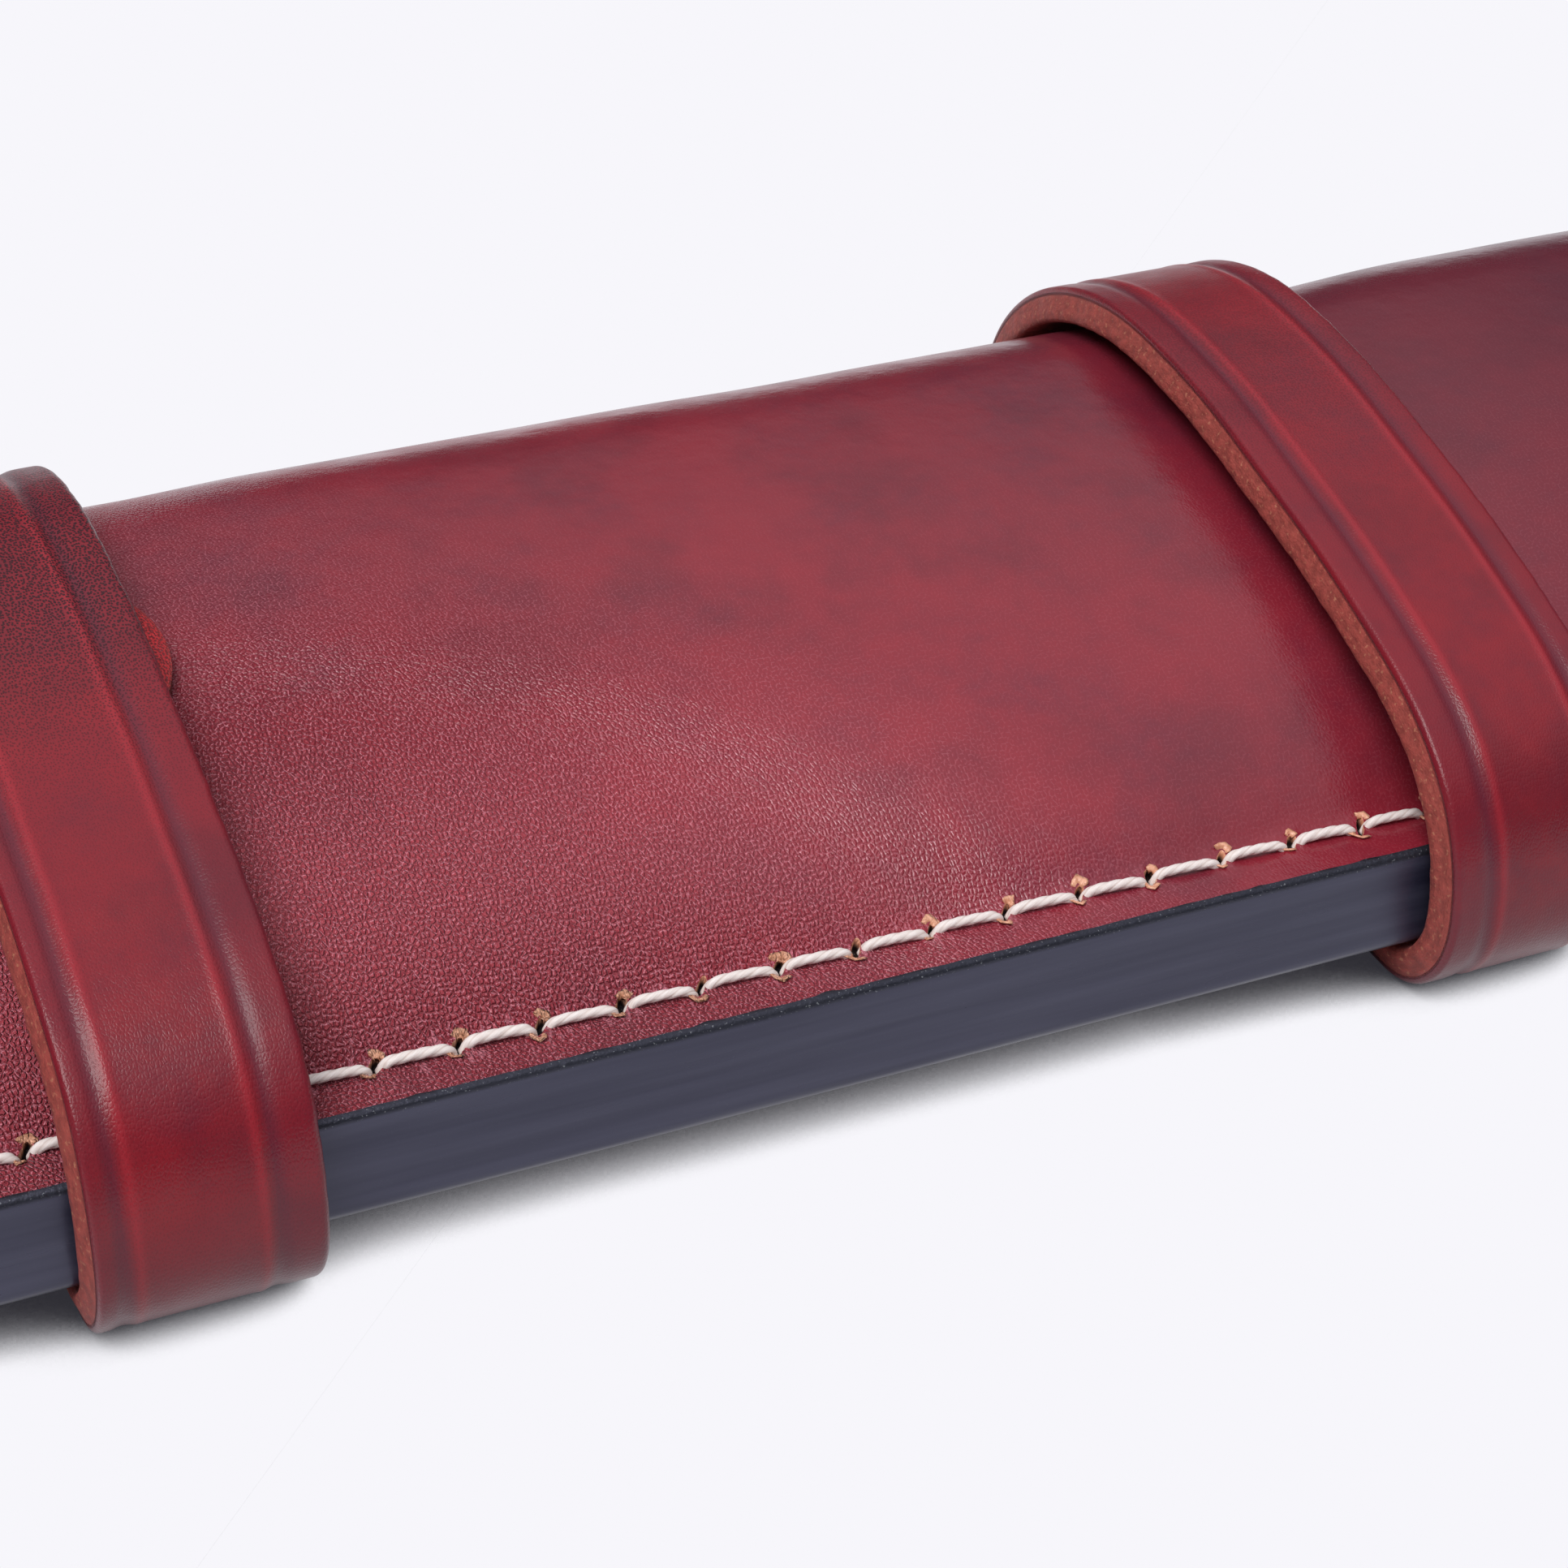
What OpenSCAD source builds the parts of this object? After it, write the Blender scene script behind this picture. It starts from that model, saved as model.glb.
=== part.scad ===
// Leather pencil case: a folded, saddle-stitched sleeve with a flap at one end,
// a tuck-in tongue and two sliding keeper bands.
// X runs along the case, Y from the sewn front edge to the folded back, Z up.
// The bands' undersides stand on Z = 0.

/* [Case] */
// Length of the folded sleeve, without the flap
case_l = 204; // [150:1:260]
// Depth from the sewn front edge to the folded back
case_d = 47.6; // [44:0.1:60]
// Height of the sleeve's top above the underside of the sewn edge
crown_h = 16.9; // [15:0.1:22]
// Distance of that highest line from the sewn front edge
crown_in = 36; // [33:0.5:38]
// How far the underside bulges below the sewn edge
belly_drop = 0.8; // [0:0.1:2]
// Height of the back fold's furthest point
back_h = 7.3; // [6:0.1:9]

/* [Leather] */
// Thickness of the sleeve and flap leather
leather_t = 2; // [1.4:0.1:2.4]
// Width of the filler strip in the seam
welt_w = 5.6; // [4.6:0.1:8]
// Thickness of the filler strip in the seam
welt_t = 2; // [1:0.1:3]
// Thickness of the paint built up on the sewn edge
paint_t = 0.3; // [0.1:0.05:0.5]
// Radius sanded on the sewn edge's lower corner
edge_round = 0.9; // [0.4:0.1:1.2]
// Thickness of the stacked plug that closes the far end
plug_t = 5; // [3:0.5:10]

/* [Seam] */
// Spacing of the stitch holes
pitch = 4; // [3:0.1:6]
// Distance of the stitch row from the sewn edge
seam_in = 2.8; // [2.4:0.1:3.2]
// Width of the flat margin that the stitches draw down
margin_w = 3.4; // [3.4:0.1:4.4]
// Rise of that margin from the edge to its inner end
margin_rise = 0.25; // [0:0.05:0.5]
// First hole's distance from the open mouth
seam_start = 3.5; // [2:0.1:8]
// Last hole's least distance from the closed end
seam_end = 4; // [2:0.1:8]
// Thickness of the waxed thread
thread_d = 0.65; // [0.5:0.05:0.9]
// Distance of the end plug's stitches from the closed end
end_in = 2.5; // [1.5:0.1:4]
// How far the end stitches stand off the fold, whose curve rises between their ends (mm)
end_lift = 0.4; // [0.35:0.05:0.8]

/* [Bands] */
// Width of each keeper band
band_w = 11; // [8:0.5:16]
// Thickness of the band leather
band_t = 2; // [1.4:0.1:2.6]
// Distance between the two bands' facing edges
band_gap = 58; // [50:1:80]
// Width of the raised rib along each edge of a band
rib_w = 2.4; // [1.5:0.1:3]
// Width of the creased line beside each rib
crease_w = 0.8; // [0.4:0.1:1.2]
// Depth of the creased line
crease_h = 0.3; // [0.1:0.05:0.6]
// Room left between a band's inner face and the tongue under it
band_lift = 0.1; // [0.05:0.05:0.4]
// How far the underside of a band is hollowed between the two lines that it stands on (mm)
band_bow = 0.1; // [0.05:0.05:0.2]
// Room between a band and the flank of the sleeve in front of the tongue
shoulder_over = 2.6; // [2.4:0.1:3]
// Length of each stitch across the band's closing joint
band_stitch = 5; // [4:0.5:7]

/* [Flap] */
// Width of the flap, which continues the sleeve's underside
flap_w = 35; // [28:0.5:36]
// Distance of the flap's front side from the sewn edge
flap_in = 5; // [4:0.5:8]
// How far the flap lies over the top of the sleeve
flap_l = 38.5; // [30:0.5:46]
// Radius of the flap's two free corners
flap_round = 8; // [3:0.5:12]
// Inner radius of the flap's two bends
bend_r = 1; // [0.8:0.1:2]

/* [Tongue] */
// Width of the tongue that tucks under the first band
tongue_w = 14; // [12:0.5:18]
// Thickness of the tongue
tongue_t = 1; // [0.8:0.05:1.1]
// How far its round tip shows past the band
tip_out = 1.5; // [0.5:0.1:6]
// Length of the tongue's root in the flap
lap_l = 16; // [12:1:20]
// Distance of the tongue's middle line from the sewn edge
tongue_in = 25.5; // [20:0.5:26]

/* [Fits] */
// Gap between leather that lies or slides on other leather
lay = 0.25; // [0.2:0.05:0.4]
// Glue line of the tongue's root in the flap
glue = 0.05; // [0.02:0.01:0.1]
// Room round the sleeve inside a band
run = 0.3; // [0.25:0.05:0.5]
// Room between a band and the sewn edge in front
nose_run = 0.6; // [0.6:0.05:1]
// Room round a thread in its hole
thread_run = 0.1; // [0.05:0.05:0.2]

/* [Hidden] */

LEATHER = [0.55, 0.22, 0.27];
BAND = [0.52, 0.16, 0.20];
TAN = [0.62, 0.25, 0.18];
PAINT = [0.22, 0.22, 0.29];
THREAD = [0.93, 0.86, 0.82];

// Facets along each curved stretch of an outline, across the flap and round its bend,
// and a small step for taking a curve's direction
steps = 14;
flap_steps = 16;
bend_steps = 8;
step = 0.5;
// A cut runs this far past the solid that it cuts
past = 1;
thread_r = thread_d / 2;
// A stitch's leg is a little thinner than the stitch, and its bar lies this far off
leg_r = thread_r - 0.05;
bar_off = 0.03;
hole_r = thread_r + thread_run;

// ---- section of the sleeve: Y from the sewn edge, Z from its underside ----
edge_h = 2 * leather_t + welt_t;
fold_r = case_d - crown_in;
kink = [margin_w, edge_h + margin_rise];
crown = [crown_in, crown_h];
// The flank leaves the margin steeply and reaches the crown almost level
flank_pull = [0.16, 0.56];
crown_pull = [0.6, 0.962];
// Where the underside has reached its lowest level
belly_in = 13;
belly_mid = (belly_in + margin_w) / 2;

// Point of a cubic curve at t, and the curve without its first point
function bez(p, t) = pow(1 - t, 3) * p[0] + 3 * t * pow(1 - t, 2) * p[1]
  + 3 * t * t * (1 - t) * p[2] + pow(t, 3) * p[3];
function curve(p, n = steps) = [for (i = [1:n]) bez(p, i / n)];
// Stretch of an ellipse, without its first point
function oval(c, ry, rz, from, to, n = steps) = [
  for (i = [1:n]) let(a = from + (to - from) * i / n) c + [ry * cos(a), rz * sin(a)]
];
function reversed(p) = [for (i = [len(p) - 1:-1:0]) p[i]];
function unit(v) = v / norm(v);
function left_of(v) = [-v[1], v[0]];
// Path moved sideways by d, to the left of its direction
function beside(p, d) = [
  for (i = [0:len(p) - 1])
    let(
      a = left_of(unit(p[max(i, 1)] - p[max(i, 1) - 1])),
      b = left_of(unit(p[min(i + 1, len(p) - 1)] - p[min(i + 1, len(p) - 1) - 1]))
    ) p[i] + d * (a + b) / (1 + a * b)
];

rise = crown - kink;
top_curve = concat(
  [[paint_t, edge_h], kink],
  curve([
    kink,
    kink + [flank_pull[0] * rise[0], flank_pull[1] * rise[1]],
    kink + [crown_pull[0] * rise[0], crown_pull[1] * rise[1]],
    crown
  ])
);
fold_curve = concat(
  oval([crown_in, back_h], fold_r, crown_h - back_h, 90, 0),
  oval([crown_in, back_h], fold_r, back_h + belly_drop, 0, -90)
);
belly_curve = concat(
  curve([
    [belly_in, -belly_drop], [belly_mid, -belly_drop], [belly_mid, 0], [margin_w, 0]
  ]),
  [[paint_t, 0]]
);
outline = concat(top_curve, fold_curve, [[belly_in, -belly_drop]], belly_curve);
inside = beside(outline, -leather_t);
// Height of the top's outer face at a distance y from the sewn edge
top_table = concat(top_curve, [for (i = [0:steps - 2]) fold_curve[i]]);
function top_h(y) = lookup(y, top_table);
function top_normal(y) = left_of(unit([2 * step, top_h(y + step) - top_h(y - step)]));
// The top from y0 to y1, and a sheet that lies on it between two heights above it
function top_line(y0, y1, n = flap_steps) = [
  for (i = [0:n]) let(y = y0 + (y1 - y0) * i / n) [y, top_h(y)]
];
function sheet(y0, y1, low, high) =
  let(line = top_line(y0, y1))
  concat(beside(line, low), reversed(beside(line, high)));

// ---- section of a band's inner face ----
band_low = -belly_drop - run;
band_back = case_d + run + lay;
// Height of the joint between the strip's ends, and half the slit between them
band_mid = back_h + run;
slit = 0.1;
// The band is highest a little in front of the sleeve's own highest line
crown_lead = 3;
band_crown = [crown_in - crown_lead, crown_h + lay + tongue_t + band_lift];
// The band leaves the flank at the shoulder, rounds the sewn edge and turns under it
shoulder_in = 9;
shoulder = [shoulder_in, top_h(shoulder_in) + shoulder_over];
shoulder_pull = [5, 1.8];
crown_reach = [7.5, 0];
nose = [-nose_run, edge_h - 1];
nose_pull = [0, 3.6];
chin = [2.3, band_low];
chin_h = 2.5;
// Length over which the underside rises from each of the two lines that it stands on
bow_run = 8;
band_path = concat(
  [[band_back, band_mid + slit]],
  oval([band_crown[0], band_mid + slit], band_back - band_crown[0],
    band_crown[1] - band_mid - slit, 0, 90),
  curve([band_crown, band_crown - crown_reach, shoulder + shoulder_pull, shoulder]),
  curve([shoulder, shoulder - shoulder_pull, nose + nose_pull, nose]),
  [[nose[0], chin_h]],
  oval([chin[0], chin_h], chin[0] - nose[0], chin_h - chin[1], 180, 270),
  [
    [chin[0] + bow_run, band_low + band_bow], [crown_in - bow_run, band_low + band_bow],
    [crown_in, band_low]
  ],
  oval([crown_in, band_mid - slit], band_back - crown_in,
    band_mid - slit - band_low, -90, 0)
);

// ---- places along X, and the shift that puts the part over the origin ----
mouth_x = (leather_t + bend_r - case_l) / 2;
end_x = mouth_x + case_l;
band_x = [-band_gap / 2 - band_w, band_gap / 2];
tip_x = band_x[0] + band_w + tip_out;
flap_x = mouth_x + flap_l;
last_hole = floor((case_l - seam_start - seam_end) / pitch);
hole_x = [for (i = [0:last_hole]) mouth_x + seam_start + i * pitch];
front_y = -nose_run - band_t;
back_y = band_back + band_t + thread_d + bar_off;
shift = [0, -(front_y + back_y) / 2, band_t - band_low];
// Height of the lower bend's centre line
lower_z = leather_t - belly_drop + bend_r;

// Outline in the Y-Z plane drawn out along X from x0 to x1
module along(x0, x1, points) {
  translate(shift + [x0, 0, 0])
    rotate([90, 0, 90])
      linear_extrude(height = x1 - x0)
        polygon(points);
}

// Round bar between two points
module bar(a, b, r) {
  d = b - a;
  turn = acos(d[2] / norm(d));
  translate(shift + a)
    rotate([0, turn, atan2(d[1], d[0])])
      cylinder(h = norm(d), r = r, $fn = 24);
}

// ---- sleeve, its seam and its closed end ----
chamfer = edge_round + paint_t;

module seam_holes() {
  for (x = hole_x)
    bar([x, seam_in, -past], [x, seam_in, edge_h + past], hole_r);
}

module sleeve() {
  section = concat(
    [for (i = [0:len(outline) - 2]) outline[i]],
    [[chamfer, 0], [paint_t, edge_round]],
    reversed(inside)
  );
  color(LEATHER)
    difference() {
      along(mouth_x, end_x, section);
      seam_holes();
      end_holes();
    }
}

module welt() {
  color(LEATHER)
    difference() {
      along(mouth_x, end_x, [
        [paint_t, leather_t], [welt_w, leather_t],
        [welt_w, leather_t + welt_t], [paint_t, leather_t + welt_t]
      ]);
      seam_holes();
    }
}

module edge_paint() {
  corner = oval([edge_round, edge_round], edge_round, edge_round, 180, 270, 6);
  color(PAINT)
    along(mouth_x, end_x, concat(
      [[paint_t, edge_h], [0, edge_h - paint_t], [0, edge_round]],
      corner, [[chamfer, 0], [paint_t, edge_round]]
    ));
}

// Each hole has a leg, with a bar on top to the next hole and one below to the last
module seam_stitches() {
  top_z = edge_h + margin_rise * seam_in / margin_w + thread_r + bar_off;
  low_z = -thread_r - bar_off;
  reach = pitch - thread_d;
  color(THREAD)
    for (i = [0:last_hole]) {
      x = hole_x[i];
      bar([x, seam_in, low_z], [x, seam_in, top_z], leg_r);
      if (i < last_hole)
        bar([x - leg_r, seam_in, top_z], [x + reach, seam_in, top_z], thread_r);
      if (i > 0)
        bar([x - reach, seam_in, low_z], [x + leg_r, seam_in, low_z], thread_r);
    }
}

// Length of a path up to its point i, the point at a length s and the normal there
function path_len(p, i) = i == 0 ? 0 : path_len(p, i - 1) + norm(p[i] - p[i - 1]);
function at_len(p, s, i = 1) =
  let(d = norm(p[i] - p[i - 1]))
  s <= d || i == len(p) - 1 ? p[i - 1] + (p[i] - p[i - 1]) * s / d : at_len(p, s - d, i + 1);
function normal_at(p, s) = left_of(unit(at_len(p, s + step) - at_len(p, s - step)));
// The row of the end plug's stitches starts and ends this far round from the seam
end_first = 12;
end_count = floor((path_len(outline, len(outline) - 1) - 2 * end_first) / pitch);
end_s = [for (i = [0:end_count]) end_first + i * pitch];
// Their legs reach this far below the outer face
end_leg = leather_t + 1.5;

function in_3d(x, p) = [x, p[0], p[1]];
function end_point(s, out) = in_3d(end_x - end_in, at_len(outline, s) + out * normal_at(outline, s));

module end_holes() {
  for (s = end_s)
    bar(end_point(s, -end_leg - thread_run), end_point(s, past), hole_r);
}

module end_plug() {
  plug = beside(outline, -leather_t - glue);
  usable = [for (p = plug) if (p[0] > welt_w + glue) p];
  color(TAN)
    difference() {
      along(end_x - plug_t, end_x, concat(
        usable, [[welt_w + glue, leather_t], [welt_w + glue, leather_t + welt_t]]
      ));
      end_holes();
    }
}

module end_stitches() {
  // The bars are chords of the fold's curve
  out = thread_r + end_lift;
  color(THREAD)
    for (i = [0:end_count - 1]) {
      a = end_point(end_s[i], out);
      b = end_point(end_s[i + 1], out);
      bar(a, b - unit(b - a) * thread_d, thread_r);
      bar(end_point(end_s[i], -end_leg), a, leg_r);
    }
}

// ---- flap: it continues the underside, covers the mouth and lies on the top ----
flap_back = flap_in + flap_w;
bend_out = bend_r + leather_t;
// Centre line of the upper bend
upper_line = beside(top_line(flap_in, flap_back), lay - bend_r);

module flap_lower_bend() {
  color(LEATHER)
    translate(shift + [mouth_x, flap_back, lower_z])
      rotate([90, 0, 0])
        linear_extrude(height = flap_w)
          intersection() {
            difference() {
              circle(r = bend_out, $fn = 48);
              circle(r = bend_r, $fn = 48);
            }
            translate([-bend_out, -bend_out])
              square(bend_out);
          }
}

module flap_cover() {
  color(LEATHER)
    along(mouth_x - bend_out, mouth_x - bend_r, concat(
      [[flap_back, lower_z + lay], [flap_in, lower_z + lay]], upper_line
    ));
}

// Quarter ring carried along the slope of the top, and mitred at each change of slope
module flap_upper_bend() {
  mitre = beside(upper_line, 1) - upper_line;
  turns = [for (i = [0:bend_steps]) 90 * i / bend_steps];
  ring = concat(
    [for (t = turns) bend_out * [-cos(t), sin(t)]],
    [for (t = reversed(turns)) bend_r * [-cos(t), sin(t)]]
  );
  k = len(ring);
  points = [
    for (j = [0:flap_steps], p = ring) in_3d(p[0], upper_line[j] + p[1] * mitre[j])
  ];
  sides = [
    for (j = [0:flap_steps - 1], i = [0:k - 1])
      let(a = j * k + i, b = j * k + (i + 1) % k) [a, a + k, b + k, b]
  ];
  color(LEATHER)
    translate(shift + [mouth_x, 0, 0])
      polyhedron(
        points = points,
        faces = concat(
          [[for (i = [0:k - 1]) i]], sides,
          [[for (i = [k - 1:-1:0]) flap_steps * k + i]]
        )
      );
}

tongue_y = [tongue_in - tongue_w / 2, tongue_in + tongue_w / 2];
lap_x = flap_x - lap_l;
// Stitch rows that hold the tongue's root, and their holes
root_y = [tongue_y[0] + seam_in, tongue_y[1] - seam_in];
root_end = 2;
root_x = [for (i = [0:floor((lap_l - 2 * root_end) / pitch)]) lap_x + root_end + i * pitch];

function on_top(x, y, out) = in_3d(x, [y, top_h(y)] + out * top_normal(y));

module root_holes() {
  for (x = root_x, y = root_y)
    bar(on_top(x, y, lay - past), on_top(x, y, lay + leather_t + past), hole_r);
}

module flap_panel() {
  color(LEATHER)
    difference() {
      intersection() {
        along(mouth_x, flap_x, sheet(flap_in, flap_back, lay, lay + leather_t));
        flap_plan();
      }
      along(lap_x - glue, flap_x + past, sheet(
        tongue_y[0] - glue, tongue_y[1] + glue, lay - past, lay + tongue_t + glue
      ));
      root_holes();
    }
}

// Rounded outline of the flap seen from above
module flap_plan() {
  high = 2 * crown_h;
  translate(shift + [mouth_x, flap_in - past, 0])
    linear_extrude(height = high)
      square([flap_l - flap_round, flap_w + 2 * past]);
  translate(shift + [mouth_x, flap_in + flap_round, 0])
    linear_extrude(height = high)
      square([flap_l, flap_w - 2 * flap_round]);
  for (y = [flap_in + flap_round, flap_back - flap_round])
    translate(shift + [flap_x - flap_round, y, 0])
      cylinder(h = high, r = flap_round, $fn = 48);
}

module flap_tongue() {
  tip_r = tongue_w / 2;
  color(TAN)
    difference() {
      intersection() {
        along(lap_x, tip_x, sheet(tongue_y[0], tongue_y[1], lay, lay + tongue_t));
        union() {
          translate(shift + [lap_x - past, tongue_y[0] - past, 0])
            cube([tip_x - tip_r - lap_x + past, tongue_w + 2 * past, 2 * crown_h]);
          translate(shift + [tip_x - tip_r, tongue_in, 0])
            cylinder(h = 2 * crown_h, r = tip_r, $fn = 64);
        }
      }
      root_holes();
    }
}

module tongue_stitches() {
  out = lay + leather_t + thread_r + bar_off;
  color(THREAD)
    for (y = root_y, i = [0:len(root_x) - 2]) {
      x = root_x[i];
      bar(on_top(x, y, out), on_top(x + pitch - thread_d, y, out), thread_r);
      bar(on_top(x, y, lay), on_top(x, y, out), leg_r);
    }
}

// ---- keeper bands: one strip each, sewn edge to edge at the back ----
module band(x) {
  // Ribs at the two edges, creased lines beside them and a raised middle
  cuts = [0, rib_w, rib_w + crease_w, band_w - rib_w - crease_w, band_w - rib_w, band_w];
  for (i = [0:len(cuts) - 2]) {
    t = i % 2 == 0 ? band_t : band_t - crease_h;
    along(x + cuts[i], x + cuts[i + 1], concat(
      band_path, reversed(beside(band_path, -t))
    ));
  }
}

// Places of the stitches across the joint
function joint_x(x) = [for (i = [-1:1]) x + band_w / 2 + i * (band_w / 2 - rib_w / 2)];

module band_with_holes(x) {
  color(BAND)
    difference() {
      band(x);
      for (v = joint_x(x), s = [-1, 1])
        bar(
          [v, band_back - past, band_mid + s * band_stitch / 2],
          [v, band_back + band_t + past, band_mid + s * band_stitch / 2], hole_r
        );
    }
}

module joint_stitches(x) {
  y = band_back + band_t + thread_r + bar_off;
  half = band_stitch / 2;
  color(THREAD)
    for (v = joint_x(x)) {
      bar([v, y, band_mid - half - leg_r], [v, y, band_mid + half + leg_r], thread_r);
      for (s = [-1, 1])
        bar([v, band_back + lay, band_mid + s * half], [v, y, band_mid + s * half], leg_r);
    }
}

module band_left() {
  band_with_holes(band_x[0]);
}

module band_right() {
  band_with_holes(band_x[1]);
}

module band_left_stitches() {
  joint_stitches(band_x[0]);
}

module band_right_stitches() {
  joint_stitches(band_x[1]);
}

sleeve();
welt();
edge_paint();
seam_stitches();
end_plug();
end_stitches();
flap_lower_bend();
flap_cover();
flap_upper_bend();
flap_panel();
flap_tongue();
tongue_stitches();
band_left();
band_left_stitches();
band_right();
band_right_stitches();
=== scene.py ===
import math

import bmesh
import bpy
import numpy as np
from mathutils import Matrix, Vector


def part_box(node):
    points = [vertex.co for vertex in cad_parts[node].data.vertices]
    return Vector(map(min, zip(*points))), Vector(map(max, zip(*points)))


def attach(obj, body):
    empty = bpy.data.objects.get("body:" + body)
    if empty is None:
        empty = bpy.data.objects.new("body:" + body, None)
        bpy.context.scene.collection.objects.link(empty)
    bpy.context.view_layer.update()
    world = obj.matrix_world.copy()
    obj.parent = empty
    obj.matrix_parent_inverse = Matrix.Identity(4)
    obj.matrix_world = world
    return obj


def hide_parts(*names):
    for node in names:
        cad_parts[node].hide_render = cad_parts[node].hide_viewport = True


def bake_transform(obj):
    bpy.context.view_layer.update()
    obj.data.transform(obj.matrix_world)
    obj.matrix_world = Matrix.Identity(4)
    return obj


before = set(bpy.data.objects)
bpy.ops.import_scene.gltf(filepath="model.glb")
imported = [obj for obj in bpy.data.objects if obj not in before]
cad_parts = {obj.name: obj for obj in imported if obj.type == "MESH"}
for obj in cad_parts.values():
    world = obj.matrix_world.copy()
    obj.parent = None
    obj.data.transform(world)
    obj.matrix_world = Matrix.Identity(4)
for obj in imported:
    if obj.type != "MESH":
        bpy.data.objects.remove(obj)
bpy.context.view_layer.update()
MM = 0.001

# ---- places taken from the frame, in mm; curves have Y from the sewn edge and Z from its underside ----
SHIFT = np.array([0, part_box("edge_paint")[0].y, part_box("edge_paint")[0].z]) / MM
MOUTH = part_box("sleeve")[0].x / MM
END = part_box("sleeve")[1].x / MM
BAND_X = [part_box(n)[0].x / MM for n in ("band_left", "band_right")]
BAND_W = 11.0
LEATHER = 2.0
EDGE_H = 6.0
PAINT = 0.3
CASE_D = 47.6
CROWN = np.array([36.0, 16.9])
BACK_H = 7.3
DROP = 0.8
KINK = np.array([3.4, 6.25])
PITCH = 4.0
SEAM_START, HOLE_COUNT = 3.5, 50
HOLES = [MOUTH + SEAM_START + PITCH * i for i in range(HOLE_COUNT)]
SEAM_IN = 2.8
THREAD_R = 0.26


def bez(p, n=48):
    t = np.linspace(0, 1, n + 1)[1:, None]
    p = [np.array(q, float) for q in p]
    return (1 - t) ** 3 * p[0] + 3 * t * (1 - t) ** 2 * p[1] + 3 * t * t * (1 - t) * p[2] + t**3 * p[3]


def oval(c, ry, rz, start, stop, n=48):
    a = np.radians(np.linspace(start, stop, n + 1)[1:])
    return np.stack([c[0] + ry * np.cos(a), c[1] + rz * np.sin(a)], 1)


def lengths(path):
    return np.concatenate([[0], np.cumsum(np.linalg.norm(np.diff(path, axis=0), axis=1))])


def rounded(d, r):
    """How far a surface sinks at a distance d from an edge that is rounded with radius r."""
    return np.where(d < r, r - np.sqrt(np.maximum(0, r**2 - (r - d) ** 2)), 0)


def unrolled(u, v):
    """Places on the unrolled leather, from two arrays that broadcast against each other."""
    u, v = np.broadcast_arrays(np.asarray(u, float), np.asarray(v, float))
    return np.stack([u, v, 0 * u], -1)


class Path:
    """A smooth line in the Y-Z plane, read by its length in mm."""

    def __init__(self, points, soften=0.0, step=0.05):
        points = np.vstack([np.array(p, float).reshape(-1, 2) for p in points])
        s = lengths(points)
        keep = np.concatenate([[True], np.diff(s) > 1e-6])
        points, s = points[keep], s[keep]
        fine = np.arange(0, s[-1], step)
        fine = np.append(fine, s[-1])
        p = np.stack([np.interp(fine, s, points[:, i]) for i in (0, 1)], 1)
        if soften:
            k = int(soften * 3 / step)
            w = np.exp(-0.5 * (np.arange(-k, k + 1) * step / soften) ** 2)
            w /= w.sum()
            ends = [2 * p[0] - p[k:0:-1], p, 2 * p[-1] - p[-2 : -k - 2 : -1]]
            padded = np.vstack(ends)
            p = np.stack([np.convolve(padded[:, i], w, "valid") for i in (0, 1)], 1)
        self.p, self.s = p, lengths(p)
        self.length = self.s[-1]
        d = np.gradient(p, axis=0)
        d /= np.linalg.norm(d, axis=1)[:, None]
        self.n = np.stack([-d[:, 1], d[:, 0]], 1)

    def at(self, s):
        s = np.asarray(s, float)
        return np.stack([np.interp(s, self.s, self.p[:, i]) for i in (0, 1)], -1)

    def normal(self, s):
        n = np.stack([np.interp(np.asarray(s, float), self.s, self.n[:, i]) for i in (0, 1)], -1)
        return n / np.linalg.norm(n, axis=-1)[..., None]


RISE = CROWN - KINK
top_curve = [
    [[PAINT, EDGE_H], KINK],
    bez([KINK, KINK + [0.16 * RISE[0], 0.56 * RISE[1]], KINK + [0.6 * RISE[0], 0.962 * RISE[1]], CROWN]),
]
FOLD_R = CASE_D - CROWN[0]
under_curve = [
    oval([CROWN[0], BACK_H], FOLD_R, CROWN[1] - BACK_H, 90, 0),
    oval([CROWN[0], BACK_H], FOLD_R, BACK_H + DROP, 0, -90),
    [[13, -DROP]],
    bez([[13, -DROP], [8.2, -DROP], [8.2, 0], [3.4, 0]], 24),
    [[1.2, 0]],
]
skin = Path(top_curve + under_curve, soften=0.5)
top = Path(top_curve + [oval([CROWN[0], BACK_H], FOLD_R, CROWN[1] - BACK_H, 90, 20)], soften=0.5)


def top_s(y):
    """Length along the top at a distance y from the sewn edge."""
    return np.interp(y, top.p[:, 0], top.s)


SHOULDER = np.array([9, np.interp(9, top.p[:, 0], top.p[:, 1]) + 2.6])
B_LOW, B_BACK, B_MID = -DROP - 0.3, CASE_D + 0.55, BACK_H + 0.3
B_CROWN = np.array([CROWN[0] - 3, CROWN[1] + 1.35])
NOSE = np.array([-0.8, 2.7])
band_path = Path(
    [
        [[B_BACK, B_MID + 0.1]],
        oval([B_CROWN[0], B_MID + 0.1], B_BACK - B_CROWN[0], B_CROWN[1] - B_MID - 0.1, 0, 90),
        bez([B_CROWN, B_CROWN - [7.5, 0], SHOULDER + [5, 1.8], SHOULDER]),
        bez([SHOULDER, SHOULDER - [5, 1.8], NOSE + [0.1, 6.8], NOSE]),
        oval([2.5, NOSE[1]], 2.5 - NOSE[0], NOSE[1] - B_LOW, 180, 270),
        [[CROWN[0], B_LOW]],
        oval([CROWN[0], B_MID - 0.1], B_BACK - CROWN[0], B_MID - 0.1 - B_LOW, -90, 0),
    ],
    soften=0.35,
)


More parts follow.
